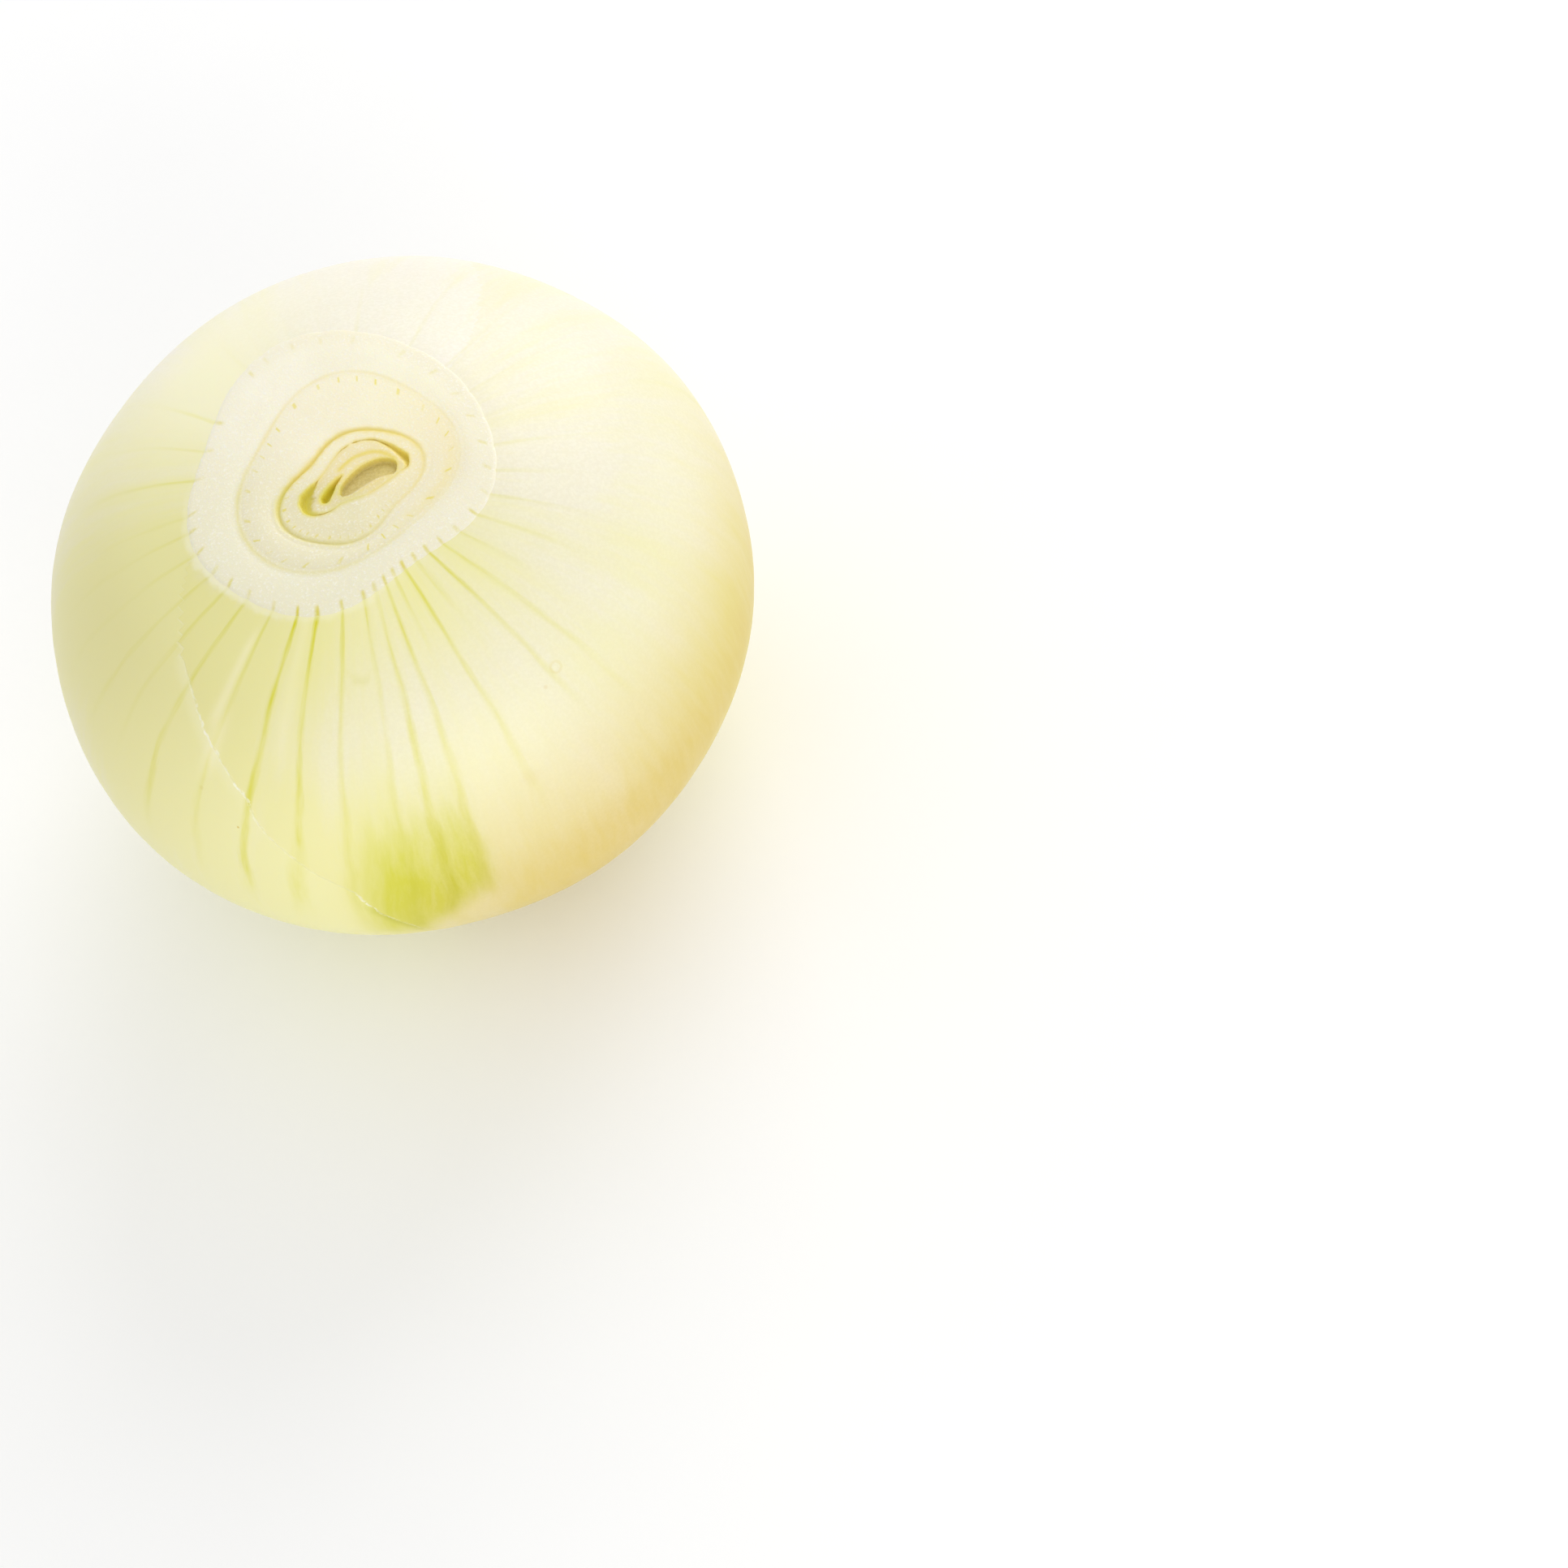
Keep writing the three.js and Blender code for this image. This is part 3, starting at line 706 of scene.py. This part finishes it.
mean_tint, tint_waves = LEAF_TINT
leafy = mean_tint + wave_height(tint_waves, row_angle) + tint_from(row_angle, LEAFY_FROM)
leafy = leafy + tint_about(row_angle, LEAFY_ABOUT) + tint_from(row_angle, LEAFY_RIM_FROM) * on_side
painted_shade = tint_from(row_angle, PAINTED_SHADE_FROM) + tint_from(row_angle, PAINTED_RIM_SHADE_FROM) * on_side
painted_highlight = tint_from(row_angle, PAINTED_HIGHLIGHT_FROM) + tint_about(row_angle, PAINTED_HIGHLIGHT_ABOUT)
painted_highlight = (painted_highlight + tint_from(vein_angle, HIGHLIGHT_STROKES_FROM)) * on_side

# Painted shade with warm reflected light: one lower side is golden, most at a belt that climbs round it and
# less below.
past_warm = (np.degrees(row_angle) - GOLDEN_SHADE_BEARING + 180) % 360 - 180
from_warm = np.radians(past_warm * np.where(past_warm > 0, 1.25, 1.0))
golden_tint_and_painted_shade = smooth(np.cos(np.clip(from_warm, -np.pi, np.pi)), 0.2, 1.0)
golden_tint_and_painted_shade = golden_tint_and_painted_shade * (0.8 * smooth(height, 48, 24) + 0.55 * smooth(height, 34, 14))
golden_tint_and_painted_shade = golden_tint_and_painted_shade + tint_from(row_angle, GOLDEN_SHADE_FROM)
belt = 12 + 17 * smooth(past_warm, -56, 25)
golden_tint_and_painted_shade = 0.81 * (1 - np.exp(-1.5 * golden_tint_and_painted_shade)) * (0.4 + 0.6 * smooth(height, belt - 22, belt))
# On the cut the same mark is a slight golden tint on one side, more away from the rim.
golden_tint_and_painted_shade = golden_tint_and_painted_shade + (0.04 + 0.1 * smooth(rim_inset, 0.5, 5.0)) * bump(row_angle, 5, 50) * off_side

turns = row_angle / (2 * np.pi)
core_reach = ROOT_CORE_RADIUS * (1 + ROOT_CORE_OVAL * np.cos(2 * angles))
root_eye = np.zeros(root_x.shape)
for eye_x, eye_y, eye_radius in ROOT_EYES:
    eye_away = np.hypot(root_x - eye_x, root_y - eye_y) / (1.25 * eye_radius)
    root_eye = np.maximum(root_eye, np.exp(-eye_away ** 4))
wavy = 0.3 * np.sin(0.6 * np.degrees(row_angle)) + 0.06 * np.sin(2.3 * np.degrees(row_angle))
crease_share = smooth(rim_bearing, CREASE_FROM, CREASE_FROM + 3)
crease_share = crease_share * smooth(rim_bearing, CREASE_TO, CREASE_TO - 3)
marks = {
    "vein_phase": vein_count(vein_angle),
    "vein_scale": vein_radius * vein_gap(vein_angle) / (VEIN_HALF_WIDTH + VEIN_WIDENING * below),
    "vein_share": (side_share + 0.2 * green) * on_side + dash * off_side,
    "film": on_part(SIDE, film_away, -OFF_LINE),
    "torn_edge_highlight": on_part(SIDE, TORN_EDGE_HIGHLIGHT_SHARE * edge_curve[nearest, 2]),
    "green": green,
    "leafy": leafy,
    "golden_tint_and_painted_shade": golden_tint_and_painted_shade,
    "painted_shade": painted_shade,
    "painted_highlight": painted_highlight,
    "lip": bells(row_angle, FRAYED_LIP_HIGHLIGHT) * on_side,
    "crease": np.where(crease_share > 0, height - CREASE_HEIGHT - wavy, OFF_LINE),
    "crease_share": crease_share * on_side,
    "rim_drop": below,
    "merged": bells(row_angle, PAINTED_LIGHT_FLESH) * off_side,
    "worn": bells(row_angle, PAINTED_RIM_SHADE_FLESH) * smooth(rim_inset, 3.0, 0.4) * off_side,
    "outer_bundles": turns * OUTER_BUNDLES + 0.3 * np.sin(5 * row_angle),
    "inner_bundles": turns * INNER_BUNDLES + 0.3 * np.sin(7 * row_angle),
    "from_outer": on_part(NECK, from_outer, -FAR),
    "from_inner": on_part(NECK, from_inner, -FAR),
    "shade": on_part(NECK, neck_shade),
    "glow": on_part(NECK, neck_glow),
    "pocket": on_part(NECK, core_pocket * in_core),
    "bud": on_part(NECK, core_bud * in_core),
    "hair_away": on_part(NECK, hair_away, FAR),
    "hair_share": on_part(NECK, hair_share * in_core),
    "root_ring": on_part(ROOT, np.hypot(root_x, root_y) - core_reach, FAR),
    "root_eye": on_part(ROOT, root_eye),
    "fibre": np.stack([np.cos(vein_angle), np.sin(vein_angle), arc_length / FIBRE_STRETCH], axis=-1),
}


# ------------------------------------------------
# Bulb: the skin of the outer scale
#
# Smooth, moist and a little see-through: creamy white on one side of the neck, yellow
# green on the other, with fine lengthwise fibres, greenish veins and a satin shine.

SKIN_CREAM = paint(237, 232, 216)
SKIN_BUFF = paint(236, 231, 211)
SKIN_GLINT = paint(252, 249, 238)
SKIN_LEAFY = paint(237, 233, 168)
# The colour of the painted highlights.
SKIN_PAINTED_HIGHLIGHT = paint(250, 245, 207)
# The colours of the painted highlights beside and along the torn edge.
FILM_PAINTED_HIGHLIGHT = paint(250, 247, 225)
TORN_EDGE_PAINTED_HIGHLIGHT = paint(252, 250, 238)
# Pigments multiply the colour under them.
# The colour of the painted shade.
PAINTED_SHADE_PIGMENT = (0.92, 0.9, 0.88)
# Golden painted shade with warm reflected light on the skin, and a slight golden tint on the cut.
GOLDEN_TINT_AND_SHADE_PIGMENT = (0.75, 0.54, 0.07)
PATCH_PIGMENT = (0.79, 0.83, 0.13)
VEIN_PIGMENT = (0.82, 0.82, 0.02)
FILM_PIGMENT = (0.985, 0.98, 0.92)
FILM_SHADE_PIGMENT = (0.8, 0.8, 0.25)
SPOT_PIGMENT = (0.78, 0.6, 0.2)
SCAR_PIGMENT = (0.88, 0.8, 0.45)
CREASE_PIGMENT = (0.86, 0.85, 0.5)
# Small blemishes in the skin: angle, height, radius, strength.
SPOTS = [(232, 41.3, 0.22, 0.8), (224.8, 44.7, 0.4, 0.18), (294, 47.6, 0.35, 0.25), (283, 41.2, 1.5, 0.09)]
# A scar the shape of a ring: angle, height, radius.
RING_SCAR = (298, 48.3, 0.6)
# The bulb's sizes above are in millimetres, and the mesh is in metres.
MM = 0.001


def calculate(operation, first, second=0.0, third=0.0):
    """One step of arithmetic on single values."""
    return new_step(first, "Math", {0: first, 1: second, 2: third}, operation=operation).outputs[0]


def multiply(first, *others):
    """The product of single values."""
    for other in others:
        first = calculate("MULTIPLY", first, other)
    return first


def apart(first, second):
    """How far apart two single values are."""
    return calculate("ABSOLUTE", calculate("SUBTRACT", first, second))


def rise(value, low, high, start=0.0, end=1.0):
    """Goes smoothly from start to end as the value goes from low to high."""
    inputs = {"Value": value, "From Min": low, "From Max": high, "To Min": start, "To Max": end}
    return new_step(value, "MapRange", inputs, interpolation_type="SMOOTHSTEP").outputs[0]


def stain(share, colour, pigment):
    """Multiplies a colour by a pigment's own colour, by the share."""
    return tint(share, colour, (*pigment, 1.0), "MULTIPLY")


def raised(shader, height, distance, strength):
    """Bends the shader's light by a height; distance is the height of 1 in metres."""
    step = new_step(height, "Bump", {"Height": height, "Distance": distance, "Strength": strength})
    feed(step.outputs[0], shader.inputs["Normal"])


def moist_flesh(shader, colour, roughness, shine, depth, share):
    """The colour, roughness and shine of flesh. A share of the light sinks in to a depth,
    and comes back yellow."""
    feed(colour, shader.inputs["Base Color"])
    shader.inputs["Roughness"].default_value = roughness
    shader.inputs["Specular IOR Level"].default_value = shine
    shader.inputs["Subsurface Weight"].default_value = share
    shader.inputs["Subsurface Radius"].default_value = (1.0, 0.85, 0.35)
    shader.inputs["Subsurface Scale"].default_value = depth


def mark(place, name):
    """One of the marks that the mesh carries at a place."""
    step = new_step(place, "Attribute", {}, attribute_name=name)
    return step.outputs["Vector"] if name == "fibre" else step.outputs["Fac"]


def off_whole(phase):
    """How far a phase is from the nearest whole number, from 0 to one half."""
    return apart(phase, calculate("ROUND", phase))


def vein_lines(place):
    """How strongly each point lies in a vein: most in its middle, none past its width."""
    frayed = rise(speckle(mark(place, "fibre"), 60.0, 2.0), 0.3, 0.7, 0.8, 1.35)
    away = multiply(off_whole(mark(place, "vein_phase")), mark(place, "vein_scale"), frayed)
    return multiply(rise(away, 1.0, 0.0), mark(place, "vein_share"))


def spot(place, angle, level, ring_radius, width, strength):
    """A round mark centred on a point of the side: strength * (1 - |distance from the
    point - ring_radius| / width), smoothed, with sizes in millimetres."""
    centre = side_points(np.array(float(level)), np.radians(angle)) * MM
    step = new_step(place, "VectorMath", {0: place, 1: centre}, operation="DISTANCE")
    away = apart(step.outputs["Value"], ring_radius * MM)
    return rise(away, width * MM, 0.2 * width * MM, 0.0, strength)


skin, shader, place = new_material("outer_scale")
along = mark(place, "fibre")
film = mark(place, "film")
rim_drop = mark(place, "rim_drop")
sectors = speckle(along, 5.5, 2.0)
fibres = speckle(along, 34.0, 4.0, 0.65)
mottle = speckle(place, 60.0, 3.0)
grain = speckle(place, 2600.0, 2.0, 0.6)
colour = tint(rise(mottle, 0.3, 0.7), SKIN_CREAM, SKIN_BUFF)
colour = tint(rise(grain, 0.35, 0.7, 0.0, 0.28), colour, SKIN_GLINT)
leaf_share = calculate("ADD", mark(place, "leafy"), rise(sectors, 0.25, 0.75, -0.22, 0.22))
leaf_share = calculate("ADD", leaf_share, rise(fibres, 0.2, 0.8, -0.12, 0.12))
colour = tint(leaf_share, colour, SKIN_LEAFY)
# Painted highlights: pale zones, and pale strokes beside the veins.
colour = tint(mark(place, "painted_highlight"), colour, SKIN_PAINTED_HIGHLIGHT)
# Painted shade on the skin.
colour = stain(mark(place, "painted_shade"), colour, PAINTED_SHADE_PIGMENT)
# Painted shade with warm reflected light: the lower side golden, streaked along the fibres.
golden_painted_shade = multiply(mark(place, "golden_tint_and_painted_shade"), rise(fibres, 0.3, 0.7, 0.95, 1.05),
                  rise(sectors, 0.25, 0.75, 0.93, 1.07))
colour = stain(golden_painted_shade, colour, GOLDEN_TINT_AND_SHADE_PIGMENT)
patch = multiply(mark(place, "green"), rise(fibres, 0.3, 0.7, 0.84, 1.12),
                 rise(sectors, 0.2, 0.7, 0.85, 1.1))
colour = stain(patch, colour, PATCH_PIGMENT)
beads = rise(speckle(along, 24.0, 3.0, 0.6), 0.3, 0.7, 0.4, 1.35)
colour = stain(multiply(vein_lines(place), beads), colour, VEIN_PIGMENT)

# The last thin skin covers one side of its torn edge, and shades the other side low down.
under_film = rise(film, -0.1, 0.1)
colour = stain(under_film, colour, FILM_PIGMENT)
film_shade = multiply(rise(film, -1.3, -0.1), rise(film, 0.1, -0.1),
                      rise(rim_drop, 28.5, 31.0, 0.0, 0.75), rise(rim_drop, 43.0, 34.0))
colour = stain(film_shade, colour, FILM_SHADE_PIGMENT)
for angle, level, radius, strength in SPOTS:
    colour = stain(spot(place, angle, level, 0.0, radius, strength), colour, SPOT_PIGMENT)
colour = stain(spot(place, *RING_SCAR, 0.25, 0.3), colour, SCAR_PIGMENT)
crease = multiply(rise(apart(mark(place, "crease"), 0.0), 0.55, 0.0, 0.0, 0.32),
                  rise(speckle(place, 500.0), 0.35, 0.6, 0.2, 1.0), mark(place, "crease_share"))
colour = stain(crease, colour, CREASE_PIGMENT)

# Painted highlights: high up a pale zone beside the torn edge, at the rim a ragged pale lip where the skin
# frays, and a white line along the torn edge itself.
lifted_film_highlight = multiply(rise(film, -2.0, -0.1), rise(film, 0.05, -0.1),
                  rise(rim_drop, 20.0, 8.0, 0.0, 0.22))
frayed_lip_highlight = multiply(speckle(place, 420.0, 3.0, 0.6), 0.7)
frayed_lip_highlight = rise(calculate("SUBTRACT", rim_drop, frayed_lip_highlight), 0.12, -0.2)
frayed_lip_highlight = multiply(frayed_lip_highlight, mark(place, "lip"))
colour = tint(calculate("MAXIMUM", lifted_film_highlight, frayed_lip_highlight), colour, FILM_PAINTED_HIGHLIGHT)
ragged_film = calculate("MULTIPLY_ADD", speckle(place, 1100.0), 0.9, film)
torn = multiply(rise(apart(ragged_film, 0.45), 0.26, 0.06),
                rise(speckle(place, 1500.0), 0.4, 0.55, 0.1, 1.0), mark(place, "torn_edge_highlight"))
colour = tint(torn, colour, TORN_EDGE_PAINTED_HIGHLIGHT)
moist_flesh(shader, colour, roughness=0.38, shine=0.35, depth=0.0022, share=0.3)
relief = calculate("MULTIPLY_ADD", fibres, 0.15, multiply(under_film, 0.6))
raised(shader, relief, distance=0.00012, strength=0.6)


# ------------------------------------------------
# Bulb: the cut flesh
#
# Whiter than the skin and grainy, because the knife opened its cells. The bundles that
# feed the leaves show as small green dashes, and the seams and slits are olive yellow.

FLESH_WHITE = paint(248, 243, 224)
# The cut's painted shade on its leafy side, away from the lamp.
FLESH_PAINTED_SHADE = paint(235, 231, 204)
# The cut's painted light on the side towards the lamp.
FLESH_PAINTED_LIGHT = paint(254, 249, 224)
# The cut's painted shade inside the worn rim.
FLESH_PAINTED_RIM_SHADE = paint(237, 231, 206)
FLESH_CLOUD = paint(238, 230, 198)
FLESH_CELL = paint(250, 248, 240)
PITH_DARK = paint(196, 175, 98)
PITH_PALE = paint(214, 195, 124)
HAIR_LINE = paint(196, 160, 50)
# The glow beside a seam and the shade in it, on the white side and on the leafy side.
SEAM_GLOW = (paint(235, 216, 122), paint(224, 213, 116))
SEAM_SHADE = (paint(232, 211, 78), paint(224, 210, 72))
INNER_SCALE_PIGMENT = (0.985, 0.965, 0.9)
LEAVES_PIGMENT = (0.98, 0.965, 0.88)
BUD_PIGMENT = (0.93, 0.88, 0.72)
DASH_PIGMENT = (0.93, 0.88, 0.4)
VEIN_END_PIGMENT = (0.83, 0.77, 0.14)


def dashes(place, phase, pitch, inset, start, end, half_width):
    """Short strokes across a seam's edge: near a whole phase, between two insets."""
    away = multiply(off_whole(mark(place, phase)), pitch)
    return multiply(rise(away, half_width, half_width * 0.3),
                    rise(mark(place, inset), start, start + 0.2),
                    rise(mark(place, inset), end, end - 0.3))


cut, shader, place = new_material("cut_flesh")
cells = speckle(place, 3600.0, 2.0, 0.6)
clouds = speckle(place, 160.0, 2.0)
pith = speckle(place, 3200.0, 3.0, 0.7)
uneven = rise(speckle(place, 240.0), 0.3, 0.6, 0.35, 1.0)
# Painted shade: the cut goes darker towards its leafy side.
colour = tint(mark(place, "leafy"), FLESH_WHITE, FLESH_PAINTED_SHADE)
# Painted light: the cut is paler on the merged side, towards the lamp.
colour = tint(mark(place, "merged"), colour, FLESH_PAINTED_LIGHT)
# A slight golden tint on one side of the cut.
colour = stain(mark(place, "golden_tint_and_painted_shade"), colour, GOLDEN_TINT_AND_SHADE_PIGMENT)
# Painted shade: a darker band inside the rim on the worn side.
colour = tint(mark(place, "worn"), colour, FLESH_PAINTED_RIM_SHADE)
colour = stain(rise(mark(place, "from_outer"), -0.3, 0.6), colour, INNER_SCALE_PIGMENT)
colour = stain(rise(mark(place, "from_inner"), -0.2, 0.5), colour, LEAVES_PIGMENT)
colour = stain(mark(place, "bud"), colour, BUD_PIGMENT)
colour = tint(rise(clouds, 0.3, 0.7, 0.0, 0.3), colour, FLESH_CLOUD)
colour = tint(rise(cells, 0.5, 0.75, 0.0, 0.55), colour, FLESH_CELL)

outer_dashes = dashes(place, "outer_bundles", 2.7, "from_outer", start=0.5, end=1.5, half_width=0.22)
inner_dashes = dashes(place, "inner_bundles", 1.1, "from_inner", start=0.4, end=1.1, half_width=0.17)
inner_dashes = multiply(inner_dashes, rise(mark(place, "leafy"), 0.4, 0.8, 0.15, 1.0))
both = calculate("MAXIMUM", outer_dashes, inner_dashes)
colour = stain(multiply(both, uneven), colour, DASH_PIGMENT)
colour = stain(multiply(vein_lines(place), uneven), colour, VEIN_END_PIGMENT)
pith_colour = tint(rise(pith, 0.3, 0.7), PITH_DARK, PITH_PALE)
colour = tint(multiply(mark(place, "pocket"), 0.95), colour, pith_colour)
olive = rise(mark(place, "leafy"), 0.45, 0.85)
colour = tint(mark(place, "glow"), colour, tint(olive, *SEAM_GLOW))
shade = multiply(mark(place, "shade"), rise(pith, 0.3, 0.7, 0.8, 1.1))
colour = tint(shade, colour, tint(olive, *SEAM_SHADE))
hair = multiply(rise(mark(place, "hair_away"), 0.11, 0.03), mark(place, "hair_share"),
                rise(speckle(place, 1100.0), 0.4, 0.6, 0.3, 0.8))
colour = tint(hair, colour, HAIR_LINE)
moist_flesh(shader, colour, roughness=0.42, shine=0.35, depth=0.0015, share=0.25)
raised(shader, cells, distance=0.00005, strength=0.8)


# ------------------------------------------------
# Bulb: the root plate's flesh
#
# Drier than the neck cut and a little yellower: pinkish fibres in the two eyes, with the
# pale ends of the scales round them.

PLATE_PALE = paint(248, 242, 214)
PLATE_BUFF = paint(243, 234, 202)
RING_HOLLOW = paint(222, 200, 150)
RING_RIDGE = paint(254, 251, 240)
EYE_PINK = paint(244, 212, 184)
CURL_PALE = paint(252, 240, 222)

plate, shader, place = new_material("root_plate")
from_core = mark(place, "root_ring")
clouds = speckle(place, 220.0, 3.0)
colour = tint(rise(clouds, 0.3, 0.7), PLATE_PALE, PLATE_BUFF)
wander = multiply(speckle(place, 230.0, 3.0, 0.6), 3.2)
off_ring = off_whole(calculate("MULTIPLY_ADD", from_core, 1.5, wander))
strength = multiply(rise(speckle(place, 420.0, 2.0), 0.35, 0.65, 0.1, 0.6),
                    rise(from_core, 11.0, 6.0, 0.15, 1.0))
hollow = multiply(rise(off_ring, 0.2, 0.02), strength)
colour = tint(hollow, colour, RING_HOLLOW)
ridge = multiply(rise(off_ring, 0.34, 0.5), strength)
colour = tint(ridge, colour, RING_RIDGE)
core_share = rise(from_core, 0.8, -2.6, 0.0, 0.35)
core_share = calculate("MAXIMUM", core_share, mark(place, "root_eye"))
colour = tint(multiply(core_share, 0.85), colour, EYE_PINK)
curls = off_whole(multiply(speckle(place, 900.0, 2.0, 0.6), 8.0))
curls = multiply(rise(curls, 0.12, 0.4), core_share, 0.7)
colour = tint(curls, colour, CURL_PALE)
moist_flesh(shader, colour, roughness=0.55, shine=0.3, depth=0.0012, share=0.2)
relief = calculate("ADD", calculate("SUBTRACT", ridge, hollow), curls)
raised(shader, relief, distance=0.0002, strength=0.6)


# ------------------------------------------------
# Bulb: its mesh
#
# All the rows in one closed skin, from the middle of the root cut, out and up the side,
# over the rim, and in to the middle of the neck cut.


def closed_mesh(name, rows, start, end, materials, row_materials, marks):
    """A mesh from a grid of rows, each with its last column on its first, closed by a fan
    at each end. Marks go on the corners of the faces, so a phase may jump at the join."""
    row_count, columns = rows.shape[0], rows.shape[1] - 1
    vertices = np.concatenate([[start], rows[:, :-1].reshape(-1, 3), [end]]) * MM
    row, column = (grid.ravel() for grid in np.indices((row_count - 1, columns)))
    corner_rows = np.stack([row, row, row + 1, row + 1], axis=1)
    corner_columns = np.stack([column, column + 1, column + 1, column], axis=1)
    quads = 1 + corner_rows * columns + corner_columns % columns
    around = np.arange(columns)
    after = (around + 1) % columns
    top = 1 + (row_count - 1) * columns
    first_fan = np.stack([np.zeros(columns, int), 1 + after, 1 + around], axis=1)
    last_fan = np.stack([top + around, top + after, np.full(columns, len(vertices) - 1)], axis=1)
    mesh = bpy.data.meshes.new(name)
    mesh.from_pydata(vertices, [], quads.tolist() + first_fan.tolist() + last_fan.tolist())
    for material in materials:
        mesh.materials.append(material)
    face_materials = np.concatenate([row_materials[row], np.repeat(row_materials[[0, -1]], columns)])
    mesh.polygons.foreach_set("material_index", face_materials)
    mesh.polygons.foreach_set("use_smooth", np.ones(len(face_materials), bool))

    fan_rows = np.repeat([0, row_count - 1], 3 * columns)
    fan_columns = np.tile(np.stack([around, around + 1, around], axis=1).ravel(), 2)
    all_rows = np.concatenate([corner_rows.ravel(), fan_rows])
    all_columns = np.concatenate([corner_columns.ravel(), fan_columns])
    for label, grid in marks.items():
        kind, field = ("FLOAT", "value") if grid.ndim == 2 else ("FLOAT_VECTOR", "vector")
        layer = mesh.attributes.new(label, kind, "CORNER")
        layer.data.foreach_set(field, grid[all_rows, all_columns].astype(np.float32).ravel())
    mesh.update(calc_edges=True)
    mesh.validate()
    return mesh


PLATE, SKIN, CUT = range(3)
row_materials = np.full(len(rows), SKIN)
row_materials[ROOT] = PLATE
row_materials[SIDE.stop - 1:] = CUT
root_middle = [0, 0, root_level(*np.zeros((4, 1)))[0]]
middle_x, middle_y = core_middle
middle_depth = core_relief(np.array([middle_x]), np.array([middle_y]))[0][0] - CORE_SWELL
neck_middle = [middle_x, middle_y, BULB_HEIGHT - middle_depth]
bulb_mesh = closed_mesh("peeled_onion", rows, root_middle, neck_middle, [plate, skin, cut],
                        row_materials, marks)
bulb = bpy.data.objects.new("peeled_onion", bulb_mesh)
bpy.context.scene.collection.objects.link(bulb)
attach(bulb, "root")
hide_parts("onion_bulb")
